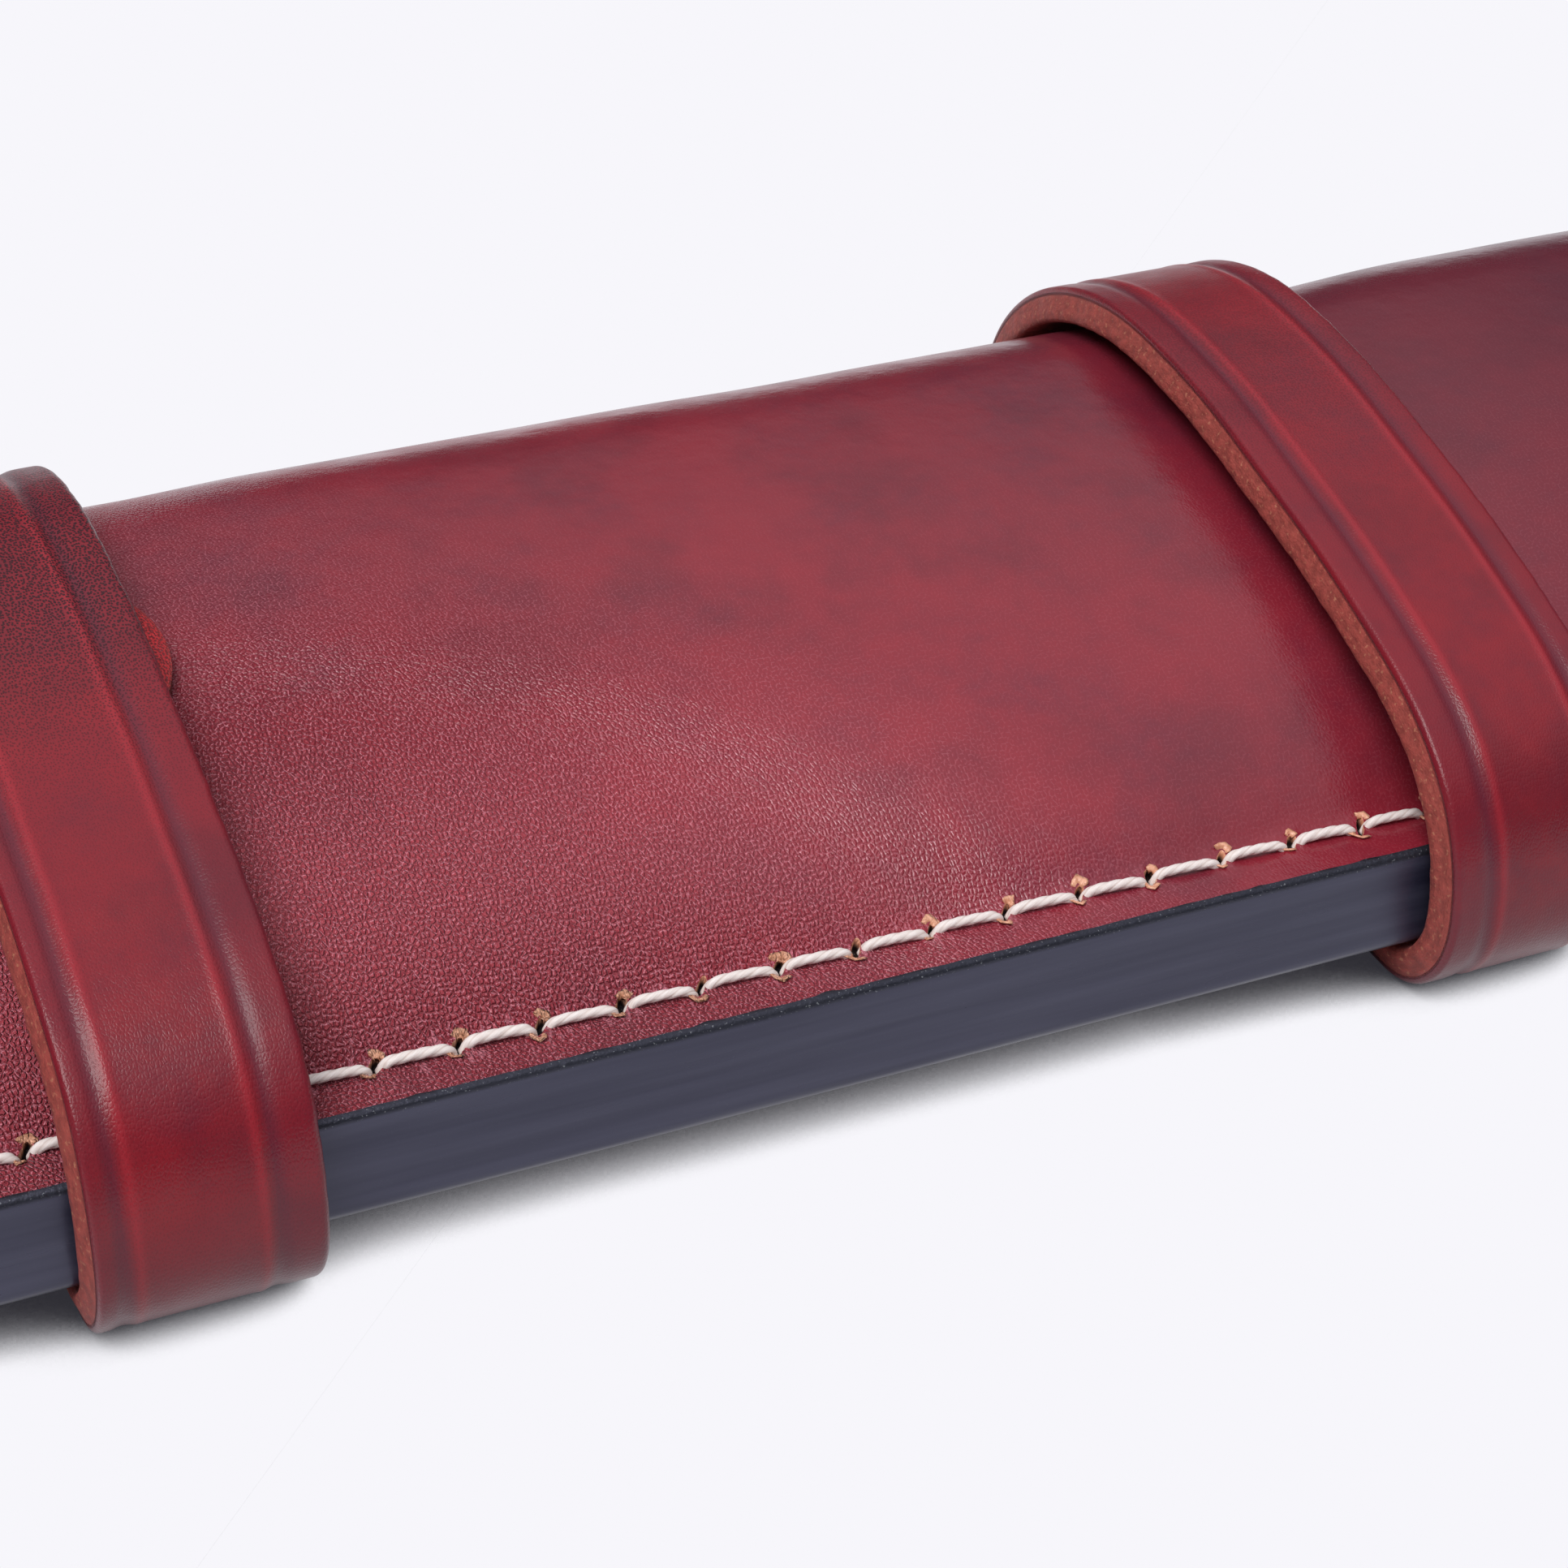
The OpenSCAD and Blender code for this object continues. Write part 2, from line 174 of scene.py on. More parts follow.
# ---- meshes ----
def wave(seed, *scales):
    """Smooth repeatable wobble of one number, about -1 to 1, with the wavelengths given in mm."""
    r = np.random.default_rng(seed)
    parts = [
        (2 * math.pi / s * r.uniform(0.8, 1.2), r.uniform(0, 7), r.uniform(0.7, 1))
        for s in scales for _ in (0, 1)
    ]
    total = sum(p[2] for p in parts)

    def f(x):
        return sum(p[2] * np.sin(np.asarray(x, float) * p[0] + p[1]) for p in parts) / total

    return f


class Build:
    """Collects points in mm and faces, with the marks that materials read: flat, the place on
    the unrolled leather, cut, which is 1 on a cut edge, deep, which is 1 in a hole, and a mark of
    painted shading, which is 1 where shade and reflection are painted and -1 where a highlight is painted."""

    def __init__(self):
        self.v, self.flat, self.cut, self.deep, self.dye, self.faces, self.count = [], [], [], [], [], [], 0

    def points(self, p, flat=None, cut=0.0, deep=0.0, dye=0.0):
        p = np.asarray(p, float)
        shape, n = p.shape[:-1], int(np.prod(p.shape[:-1]))
        self.v.append(p.reshape(n, 3))
        flat = p if flat is None else np.broadcast_to(flat, shape + (3,))
        self.flat.append(np.asarray(flat, float).reshape(n, 3))
        self.cut.append(np.broadcast_to(cut, shape).reshape(n).astype(float))
        self.deep.append(np.broadcast_to(deep, shape).reshape(n).astype(float))
        self.dye.append(np.broadcast_to(dye, shape).reshape(n).astype(float))
        index = np.arange(self.count, self.count + n).reshape(shape)
        self.count += n
        return index

    def grid(self, i, close=False, skip=None):
        if close:
            i = np.concatenate([i, i[:, :1]], 1)
        q = np.stack([i[:-1, :-1], i[1:, :-1], i[1:, 1:], i[:-1, 1:]], -1)
        if skip is not None:
            q = q[~skip]
        self.faces.extend(map(tuple, q.reshape(-1, 4).tolist()))

    def face(self, loop):
        self.faces.append(tuple(int(i) for i in loop))

    def ring(self, a, b):
        """Quads between two closed loops of the same number of points."""
        for k in range(len(a)):
            m = (k + 1) % len(a)
            self.faces.append((int(a[k]), int(a[m]), int(b[m]), int(b[k])))

    def make(self, name, material, sharp=None):
        v = (np.vstack(self.v) + SHIFT) * MM
        mesh = bpy.data.meshes.new(name)
        mesh.from_pydata(v.tolist(), [], self.faces)
        for label, kind, values in (
            ("flat", "FLOAT_VECTOR", np.vstack(self.flat)),
            ("cut", "FLOAT", np.concatenate(self.cut)),
            ("deep", "FLOAT", np.concatenate(self.deep)),
            ("dye", "FLOAT", np.concatenate(self.dye)),
        ):
            a = mesh.attributes.new(label, kind, "POINT")
            key = "vector" if kind == "FLOAT_VECTOR" else "value"
            a.data.foreach_set(key, values.astype(np.float32).ravel())
        bm = bmesh.new()
        bm.from_mesh(mesh)
        bmesh.ops.recalc_face_normals(bm, faces=bm.faces)
        for f in bm.faces:
            f.smooth = True
        if sharp:
            limit = math.radians(sharp)
            for e in bm.edges:
                if len(e.link_faces) == 2 and e.calc_face_angle(0) > limit:
                    e.smooth = False
        bm.to_mesh(mesh)
        bm.free()
        obj = bpy.data.objects.new(name, mesh)
        bpy.context.scene.collection.objects.link(obj)
        mesh.materials.append(material)
        return obj


def ease(v, low, high):
    t = np.clip((np.asarray(v, float) - low) / (high - low), 0, 1)
    return t * t * (3 - 2 * t)


def swell(x, p):
    """How far the soft body stands out above its even shape, between the bands and at the closed end."""
    along = 0.2 * ease(x, -26, -18) * ease(x, 12, -10) + 0.5 * ease(x, 40, 54) * ease(x, END - 1, END - 14)
    return along * ease(p[..., 0], 8, 25) * ease(p[..., 1], 5, 12)


def on_skin(x, s, out=0.0):
    """Point at x and a length s round the sleeve, raised by out."""
    x, s, out = np.broadcast_arrays(np.asarray(x, float), np.asarray(s, float), np.asarray(out, float))
    p = skin.at(s)
    p = p + (out + swell(x, p))[..., None] * skin.normal(s)
    return np.concatenate([x[..., None], p], -1)


# ---- materials: "flat" is the place on the unrolled leather in mm ----
class Nodes:
    def __init__(self, name, kept=False):
        self.kept = kept
        self.m = bpy.data.materials.new(name)
        self.m.use_nodes = True
        self.t = self.m.node_tree
        self.shader = self.t.nodes["Principled BSDF"]

    def add(self, kind, inputs=None, **fields):
        n = self.t.nodes.new("ShaderNode" + kind)
        for k, v in fields.items():
            setattr(n, k, v)
        for k, v in (inputs or {}).items():
            self.put(n.inputs[k], v)
        return n

    def put(self, socket, v):
        if isinstance(v, bpy.types.NodeSocket):
            self.t.links.new(v, socket)
        elif isinstance(v, (tuple, list)) and socket.type == "RGBA" and len(v) == 3:
            socket.default_value = (*v, 1)
        else:
            socket.default_value = v

    def set(self, **values):
        for k, v in values.items():
            self.put(self.shader.inputs[k.replace("_", " ")], v)

    def math(self, op, a, b=0.0, c=0.0, clamp=False):
        n = self.add("Math", {0: a, 1: b, 2: c}, operation=op, use_clamp=clamp)
        return n.outputs[0]

    def ramp(self, v, low, high, out_low=0.0, out_high=1.0, smooth=True):
        n = self.add(
            "MapRange",
            {"Value": v, "From Min": low, "From Max": high, "To Min": out_low, "To Max": out_high},
            interpolation_type="SMOOTHSTEP" if smooth else "LINEAR",
        )
        return n.outputs[0]

    def mix(self, share, a, b, blend="MIX"):
        n = self.add("Mix", data_type="RGBA", blend_type=blend)
        for i, v in ((0, share), (6, a), (7, b)):
            self.put(n.inputs[i], v)
        return n.outputs[2]

    def flat(self, scale=(1, 1, 1), move=(0, 0, 0)):
        """The place on the leather in mm; a part kept from the frame has only its own coordinates."""
        if self.kept:
            place = self.add("TexCoord").outputs["Object"]
            scale = tuple(v / MM for v in scale)
        else:
            place = self.add("Attribute", attribute_name="flat").outputs["Vector"]
        return self.add("Mapping", {0: place, 1: move, 3: scale}).outputs[0]

    def axis(self, k):
        return self.add("SeparateXYZ", {0: self.flat()}).outputs[k]

    def attribute(self, name):
        return self.add("Attribute", attribute_name=name).outputs["Fac"]

    def noise(self, vector, scale, detail=2.0, rough=0.5, distort=0.0):
        n = self.add(
            "TexNoise",
            {"Vector": vector, "Scale": scale, "Detail": detail, "Roughness": rough, "Distortion": distort},
        )
        return n.outputs[0]

    def cells(self, vector, scale, feature="DISTANCE_TO_EDGE", out="Distance", loose=0.9):
        n = self.add("TexVoronoi", feature=feature, voronoi_dimensions="3D" if self.kept else "2D")
        for k, v in (("Vector", vector), ("Scale", scale), ("Randomness", loose)):
            self.put(n.inputs[k], v)
        return n.outputs[out]

    def bump(self, height, distance, strength=1.0, normal=None):
        n = self.add("Bump", {"Height": height, "Distance": distance, "Strength": strength})
        if normal is not None:
            self.put(n.inputs["Normal"], normal)
        return n.outputs[0]


SEAM_S = float(top_s(SEAM_IN))
# colours of the painted shading: shade and reflection in the bands' creases and low on their noses, and a
# highlight on the creases' ridges
SHADE_PAINT, HIGHLIGHT_PAINT = (0.11, 0.013, 0.028), (0.42, 0.022, 0.034)
# colour of the painted sheen on the grain
SHEEN_PAINT = (0.62, 0.10, 0.13)
# base colour of the painted glints on the grain
GLINT_BASE = (0.28, 0.26, 0.31)
PORE = (0.02, 0.002, 0.006)
FLECK = (0.58, 0.24, 0.14)
TORN = (0.88, 0.45, 0.29), (0.62, 0.27, 0.155)
HOLE_SHADE = (0.02, 0.008, 0.006)


def leather(name, base, bright, dark, grain=3.7, depth=0.15, cracks=0.55, mottle=0.75, rough=(0.2, 0.28),
            edge=(0.35, 0.066, 0.052), pores=0.0, level=0.6, fades=False, kept=False):
    """Dyed grain leather: pebbles, cracks and pores, clouds of colour, rough cut edges and raw holes, with
    painted shade in the cracks and hole bottoms and painted glints and sheen on the grain.
    """
    n = Nodes(name, kept)
    flat = n.flat()
    # clouds of colour at several sizes
    large = n.noise(flat, 0.045, 3.0, 0.55)
    middle = n.noise(n.flat(move=(31, 7, 0)), 0.16, 4.0, 0.6)
    small = n.noise(n.flat(move=(5, 91, 0)), 0.9, 3.0, 0.6)
    clouds = n.math("ADD", n.math("MULTIPLY", large, 0.5), n.math("MULTIPLY", middle, 0.5))
    dyed = n.mix(n.ramp(clouds, 0.42, 0.66, 0.0, mottle), base, bright)
    dyed = n.mix(n.ramp(clouds, 0.50, 0.34, 0.0, mottle), dyed, dark)
    dyed = n.mix(n.ramp(small, 0.35, 0.75, 0.0, 0.35), dyed, bright)
    spots = n.noise(n.flat(move=(77, 3, 0)), 0.13, 4.0, 0.56)
    dyed = n.mix(n.ramp(spots, 0.46, 0.68, 0.0, 0.5 * mottle), dyed, tuple(0.62 * c for c in dark))
    # painted shade and reflection where the shading mark is above 0, a painted highlight where it is below 0
    dye = n.attribute("dye")
    dyed = n.mix(n.ramp(dye, 0.0, 1.0, 0.0, 0.7, smooth=False), dyed, SHADE_PAINT)
    dyed = n.mix(n.ramp(dye, 0.0, -1.0, 0.0, 0.55, smooth=False), dyed, HIGHLIGHT_PAINT)
    # the grain is strongest at the front by the mouth; the colour darkens towards the crown and the closed
    # end
    amount = 1.0
    if fades:
        across = n.math("ADD", n.axis(0), n.math("MULTIPLY", n.axis(1), 0.8))
        amount = n.math("MULTIPLY", n.ramp(across, -14, 24, 1.0, 0.06), n.ramp(n.axis(1), 14, 34, 1.0, 0.4))
        far = n.math("ADD", n.ramp(n.axis(1), 14, 38, 0.0, 0.2), n.ramp(n.axis(0), -2, 62, 0.0, 0.55),
                     clamp=True)
        dyed = n.mix(far, dyed, tuple(c * k for c, k in zip(dark, (0.42, 0.7, 0.7))))
    # pebbles, bent a little by noise, with finer wrinkles between them
    bend = n.add("TexNoise", {"Vector": flat, "Scale": 1.3, "Detail": 2.0})
    longer = n.flat(scale=(1.12, 0.88, 1.0))
    bent = n.add("MixRGB", {0: 0.12, 1: longer, 2: bend.outputs["Color"]}, blend_type="ADD").outputs[0]
    pebble = n.cells(bent, grain)
    fine = n.cells(bent, grain * 2.1)
    height = n.math("ADD", n.ramp(pebble, 0.0, 0.33), n.math("MULTIPLY", n.ramp(fine, 0.0, 0.3), 0.22))
    # painted shade: the cracks between the pebbles are darkened
    crack_shade = n.math("MULTIPLY", n.ramp(pebble, 0.17, 0.04, 0.0, cracks), amount)
    dyed = n.mix(crack_shade, dyed, tuple(0.3 * c for c in dark))
    # painted highlights: short pale strokes on the pebbles' shoulders, where they would catch the light
    glint_mask = n.cells(n.add("Mapping", {0: bent, 1: (-0.06, 0.07, 0.0)}).outputs[0], grain)
    glint_mask = n.math("MULTIPLY", n.ramp(glint_mask, 0.15, 0.05), n.ramp(n.noise(flat, 5.6, 2.0), 0.46, 0.56))
    pale = tuple(min(1, a + 1.8 * c) for a, c in zip(GLINT_BASE, bright))
    # painted sheen: a pale pink veil on the grain near the front, in place of its specular haze
    if fades:
        sheen_share = n.math("MULTIPLY", n.ramp(n.axis(1), 2, 10, 0.45, 1.0), n.ramp(n.axis(1), 24, 12, 0.1, 0.55))
        sheen_share = n.math("MULTIPLY", amount, sheen_share)
        dyed = n.mix(sheen_share, dyed, SHEEN_PAINT)
    dyed = n.mix(n.math("MULTIPLY", glint_mask, n.math("MULTIPLY", amount, min(1.0, 1.35 * cracks))), dyed, pale)
    # wrinkles drawn towards the stitches, in the bump, with painted pale glints along them
    near = n.math("SUBTRACT", n.axis(1), SEAM_S)
    near = n.math("MULTIPLY", n.ramp(n.math("ABSOLUTE", near), 2.2, 0.3), amount)
    wrinkle = n.noise(n.flat(scale=(3.4, 0.8, 1.0)), 1.0, 2.0, 0.5)
    height = n.math("ADD", height, n.math("MULTIPLY", n.math("MULTIPLY", wrinkle, near), 2.2))
    dyed = n.mix(n.math("MULTIPLY", n.ramp(wrinkle, 0.56, 0.68, 0.0, cracks), near), dyed, pale)
    if pores:
        dot = n.cells(n.flat(scale=(1.2, 0.9, 1.0)), 5.6, "F1", loose=0.85)
        dot = n.math("DIVIDE", dot, n.ramp(n.axis(1), 22, 44, 1.3, 0.8))
        shown = n.math("MULTIPLY", n.ramp(n.axis(1), 26, 44, 1.0, 0.2), n.ramp(n.axis(0), 70, 75, 1.0, 0.3))
        dot = n.math("MULTIPLY", n.ramp(dot, 0.36, 0.22, 0.0, pores), shown)
        dyed = n.mix(dot, dyed, PORE)
        height = n.math("SUBTRACT", height, n.math("MULTIPLY", dot, 1.5))
    # cut edges: mottled fibres with pale specks
    cut = n.attribute("cut")
    fibre = n.noise(n.flat(scale=(1.0, 0.7, 1.0)), 2.4, 4.0, 0.6)
    raw = n.mix(n.ramp(fibre, 0.3, 0.7), tuple(c * 0.75 for c in edge), tuple(c * 1.2 for c in edge))
    raw = n.mix(n.ramp(n.noise(n.flat(move=(3, 8, 0)), 3.6, 3.0), 0.58, 0.70, 0.0, 0.6), raw, FLECK)
    colour = n.mix(n.ramp(cut, 0.1, 0.9), dyed, raw)
    # raw leather inside the stitch holes; their bottom is painted black as shade
    deep = n.attribute("deep")
    torn = n.mix(n.ramp(n.noise(flat, 4.0, 3.0), 0.35, 0.65), *TORN)
    colour = n.mix(n.ramp(deep, 0.02, 0.2), colour, torn)
    colour = n.mix(n.ramp(deep, 0.45, 0.85), colour, HOLE_SHADE)
    rougher = n.ramp(n.noise(n.flat(move=(9, 9, 0)), 0.3, 3.0), 0.3, 0.7, rough[0], rough[1])
    rougher = n.math("ADD", rougher, n.math("MULTIPLY", n.math("MAXIMUM", cut, deep), 0.3), clamp=True)
    if fades:
        level = n.ramp(n.axis(0), 30, 60, level, 0.6 * level)
    n.set(Base_Color=colour, Roughness=rougher, IOR=1.5, Specular_IOR_Level=level)
    n.set(Sheen_Weight=0.02, Sheen_Roughness=0.45, Sheen_Tint=(0.8, 0.75, 1.0))
    normal = n.bump(height, depth * MM, amount)
    wide = n.noise(n.flat(move=(2, 2, 0)), 0.35, 3.0, 0.55)
    normal = n.bump(n.math("MULTIPLY", fibre, n.math("MAXIMUM", cut, deep)), 0.1 * MM, 1.0, normal)
    n.set(Normal=n.bump(wide, 0.1 * MM, 0.8, normal))
    return n.m


SLEEVE_DYE = (0.245, 0.0150, 0.029), (0.315, 0.0155, 0.028), (0.17, 0.016, 0.034)
BAND_DYE = (0.215, 0.0100, 0.020), (0.28, 0.0115, 0.019), (0.145, 0.013, 0.026)
TAN_DYE = (0.62, 0.018, 0.026), (0.72, 0.026, 0.030), (0.44, 0.012, 0.020)
sleeve_leather = leather("sleeve_leather", *SLEEVE_DYE, fades=True)
band_leather = leather("band_leather", *BAND_DYE, grain=5.0, depth=0.006, cracks=0.0, rough=(0.28, 0.36),
                       level=0.42, pores=0.9)
tan_leather = leather("tan_leather", *TAN_DYE, grain=5.5, depth=0.02, cracks=0.05, rough=(0.4, 0.5),
                      pores=0.7)
welt_leather = leather("welt_leather", *SLEEVE_DYE, depth=0.08, cracks=0.5, kept=True)
plug_leather = leather("plug_leather", *TAN_DYE, grain=5.5, depth=0.02, rough=(0.4, 0.5), kept=True)


CHARCOAL = (0.016, 0.016, 0.033), (0.044, 0.044, 0.071)
PAINT_RIM, RIM_GLINT = (0.008, 0.009, 0.012), (0.4, 0.42, 0.44)
WAXED, STRAND_SHADE = ((0.80, 0.68, 0.63), (0.93, 0.86, 0.83)), (0.50, 0.34, 0.28)


def paint_material():
    n = Nodes("edge_paint")
    streak = n.noise(n.flat(scale=(0.035, 0.75, 1.0)), 1.0, 3.0, 0.5)
    cloud = n.noise(n.flat(scale=(0.15, 0.8, 1.0)), 0.8, 3.0, 0.5)
    colour = n.mix(n.ramp(streak, 0.3, 0.7), *CHARCOAL)
    rim = n.attribute("cut")
    # painted glints: pale specks, mostly on the rough rim of the edge paint
    rim_glints = n.ramp(n.noise(n.flat(), 7.0, 2.0), 0.64, 0.70)
    colour = n.mix(n.ramp(rim, 0.2, 0.8), colour, PAINT_RIM)
    colour = n.mix(n.math("MULTIPLY", rim_glints, n.ramp(rim, 0.0, 1.0, 0.02, 0.4)), colour, RIM_GLINT)
    n.set(Base_Color=colour, IOR=1.5, Specular_IOR_Level=0.7, Specular_Tint=(0.75, 0.75, 1.0))
    n.set(Roughness=n.math("ADD", n.ramp(cloud, 0.3, 0.7, 0.26, 0.38), n.math("MULTIPLY", rim, 0.15)))
    rugged = n.bump(n.noise(n.flat(), 3.2, 3.0, 0.6), 0.05 * MM, n.ramp(rim, 0.0, 1.0, 0.06, 1.0))
    n.set(Normal=n.bump(streak, 0.07 * MM, 0.7, rugged))
    return n.m


def thread_material():
    n = Nodes("thread")
    fibre = n.noise(n.flat(scale=(2.0, 9.0, 1.0)), 1.0, 3.0, 0.6)
    colour = n.mix(n.ramp(fibre, 0.25, 0.75), *WAXED)
    # painted shade in the grooves between the strands
    colour = n.mix(n.ramp(n.attribute("deep"), 0.3, 1.0, 0.0, 0.6), colour, STRAND_SHADE)
    n.set(Base_Color=colour, Roughness=0.45, IOR=1.45, Sheen_Weight=0.1)
    n.set(Normal=n.bump(fibre, 0.03 * MM, 0.8))
    return n.m


edge_paint = paint_material()
thread = thread_material()


# ---- sleeve: one skin with a slanted, torn hole at each stitch ----
SLANT = math.radians(60)
TOP_HOLE = SEAM_S
LOW_HOLE = skin.length - (SEAM_IN - 1.2)
CELL = 0.4
END_X = END - 2.5
END_S = np.arange(12.0, skin.length - 11.0, PITCH)
END_ROUND = 0.5


def hole(b, centre_x, centre_s, boundary, seed, slant=SLANT, size=1.0):
    """Fills a gap in the skin: a lens-shaped slit along the slant, its torn walls and its bottom."""
    r = np.random.default_rng(seed)
    long, wide = size * r.uniform(0.66, 0.86), 0.24 * r.uniform(0.8, 1.3)
    turn = slant + r.uniform(-0.12, 0.12)
    u, v = np.array([math.cos(turn), math.sin(turn)]), np.array([-math.sin(turn), math.cos(turn)])
    flat = np.vstack(b.flat)[boundary]
    d = flat[:, :2] - [centre_x, centre_s]
    a = np.arctan2(d @ v, d @ u)
    jag = 1 + 0.12 * r.standard_normal(len(a))

    def loop(part, out, deep, share=0.0):
        rim = long * part * np.cos(a)[:, None] * u + (wide * part * jag * np.sin(a))[:, None] * v
        xy = d * share + rim * (1 - share)
        p = on_skin(centre_x + xy[:, 0], centre_s + xy[:, 1], out)
        return b.points(p, np.c_[centre_x + xy[:, 0], centre_s + xy[:, 1], flat[:, 2]], deep=deep)

    lips = 0.05
    loops = [boundary, loop(1.3, lips * 0.4, 0.0, 0.3), loop(1.02, lips, 0.0), loop(0.95, lips * 0.4, 0.25),
             loop(0.86, -0.15, 0.5), loop(0.7, -0.7, 1.0)]
    for m, k in zip(loops, loops[1:]):
        b.ring(m, k)
    b.face(loops[-1][::-1])


def sleeve():
    b = Build()
    first = HOLES[0] - CELL * math.floor((HOLES[0] - MOUTH) / CELL - 1)
    x = np.concatenate([MOUTH + np.array([0, 0.06, 0.18, 0.34]), np.arange(first, END - 0.7, CELL),
                        END - np.array([0.5, 0.34, 0.18, 0.06, 0])])
    steps = np.concatenate([
        [0], TOP_HOLE + CELL * np.arange(-5, 12), np.arange(TOP_HOLE + 12 * CELL, LOW_HOLE - 11 * CELL, 0.75),
        LOW_HOLE + CELL * np.arange(-11, 5),
    ])
    near = np.minimum(x - MOUTH, END - x)
    sink = rounded(near, END_ROUND)
    xs, ss = np.meshgrid(x, steps, indexing="ij")
    along = 2 * math.pi * (xs - HOLES[0]) / PITCH
    seam = np.exp(-(((ss - TOP_HOLE) / 0.55) ** 2)) + np.exp(-(((ss - LOW_HOLE) / 0.55) ** 2))
    slack = wave(3, 26, 41)(xs + 0.6 * ss) * 0.05 + wave(5, 13, 19)(xs - 1.3 * ss) * 0.025
    quiet = np.clip((ss - 3.5) / 6, 0, 1) * np.clip((skin.length - 3.5 - ss) / 6, 0, 1)
    out = -sink[:, None] - seam * (0.13 - 0.04 * np.cos(along)) + slack * quiet
    outer = b.points(on_skin(xs, ss, out), unrolled(xs, ss),
                     cut=np.broadcast_to((near < 0.3)[:, None] * 0.75, xs.shape))
    skip = np.zeros((len(x) - 1, len(steps) - 1), bool)
    gaps = []
    wanted = [(hx, hs, 3, 100 * c + k, SLANT, 1.0) for k, hx in enumerate(HOLES)
              for c, hs in enumerate((TOP_HOLE, LOW_HOLE))]
    wanted += [(END_X, s, 1, 300 + k, -SLANT / 2, 0.62) for k, s in enumerate(END_S)]
    for hx, hs, reach, seed, slant, size in wanted:
        i, j = int(np.argmin(np.abs(x - hx))), int(np.argmin(np.abs(steps - hs)))
        i0, i1, j0, j1 = i - 2, i + 2, j - reach, j + reach
        skip[i0:i1, j0:j1] = True
        loop = [outer[q, j0] for q in range(i0, i1)] + [outer[i1, q] for q in range(j0, j1)]
        loop += [outer[q, j1] for q in range(i1, i0, -1)] + [outer[i0, q] for q in range(j1, j0, -1)]
        gaps.append((x[i], steps[j], np.array(loop), seed, slant, size))
    b.grid(outer, skip=skip)
    for g in gaps:
        hole(b, *g)
    # flesh side, and the cut faces that join the two
    xi = np.concatenate([[MOUTH], np.arange(MOUTH + 4, END - 2, 4.0), [END]])
    xm, sm = np.meshgrid(xi, steps, indexing="ij")
    inner = b.points(on_skin(xm, sm, -LEATHER), unrolled(xm, sm + 200), cut=0.9)
    b.grid(inner)
    for o, m in ((outer[0], inner[0]), (outer[-1], inner[-1])):
        p = np.vstack(b.v)
        rings = [o]
        for t in (0.0, 0.2, 0.5, 0.8, 1.0):
            q = p[o] * (1 - t) + p[m] * t
            rings.append(b.points(q, np.c_[q[:, 0] * 0 + t * 2, steps, 0 * steps], cut=1.0))
        rings = rings + [m]
        for a, c in zip(rings, rings[1:]):
            b.grid(np.stack([a, c]))
    for j in (0, -1):
        # the two hidden front faces, under the paint
        o = b.points(on_skin(xi, np.full(len(xi), steps[j])), cut=1.0)
        b.grid(np.stack([o, inner[:, j]]))
    obj = b.make("sleeve_skin", sleeve_leather, sharp=50)
    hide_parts("sleeve")
    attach(obj, "case")
    return obj


def paint():
    """Edge paint: it creeps a little over the grain at the top, and is sanded round below."""
    b = Build()
    x = np.arange(MOUTH, END + 0.01, 0.3)
    creep = 0.06 * wave(21, 2.3, 4.1, 9.0)(x) + 0.35 * np.maximum(0, wave(22, 3.1, 7.3)(x) - 0.45)
    lip = 0.42 + creep
    bulge = 0.03 * wave(23, 18, 31)(x)
    front = [(0.16, EDGE_H - 0.02, 1.0), (0.05, EDGE_H - 0.16, 0.9), (0.0, EDGE_H - 0.3, 0.6),
             (0.0, EDGE_H - 0.45, 0.1)]
    front += [(0.0, z, 0.0) for z in np.linspace(EDGE_H - 0.8, 1.0, 12)]
    low_r = 0.9
    front += [(low_r - low_r * math.cos(t), low_r - low_r * math.sin(t), 0.0)
              for t in np.radians(np.arange(0, 91, 15))]
    front += [(1.25, 0.0, 0.0), (1.25, 0.1, 0.0), (PAINT + 0.05, 0.95, 0.0),
              (PAINT + 0.05, EDGE_H - 0.1, 1.0)]
    rows = [np.stack([x, lip, np.interp(lip, skin.p[:40, 0], skin.p[:40, 1]) - 0.02], 1)]
    rows.append(np.stack([x, lip - 0.05, rows[0][:, 2] + 0.05], 1))
    cuts = [1.0, 1.0]
    for y, z, c in front:
        on_face = 1.0 if y < 0.02 else 0.0
        rows.append(np.stack([x, np.full(len(x), y) + on_face * (0.02 - bulge), np.full(len(x), z)], 1))
        cuts.append(c)
    p = np.stack(rows, 1)
    i = b.points(p, unrolled(x[:, None], lengths(p[0])), cut=np.broadcast_to(cuts, p.shape[:2]))
    b.grid(i, close=True)
    b.face(i[0][::-1])
    b.face(i[-1])
    obj = b.make("painted_edge", edge_paint, sharp=60)
    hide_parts("edge_paint")
    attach(obj, "case")
    return obj


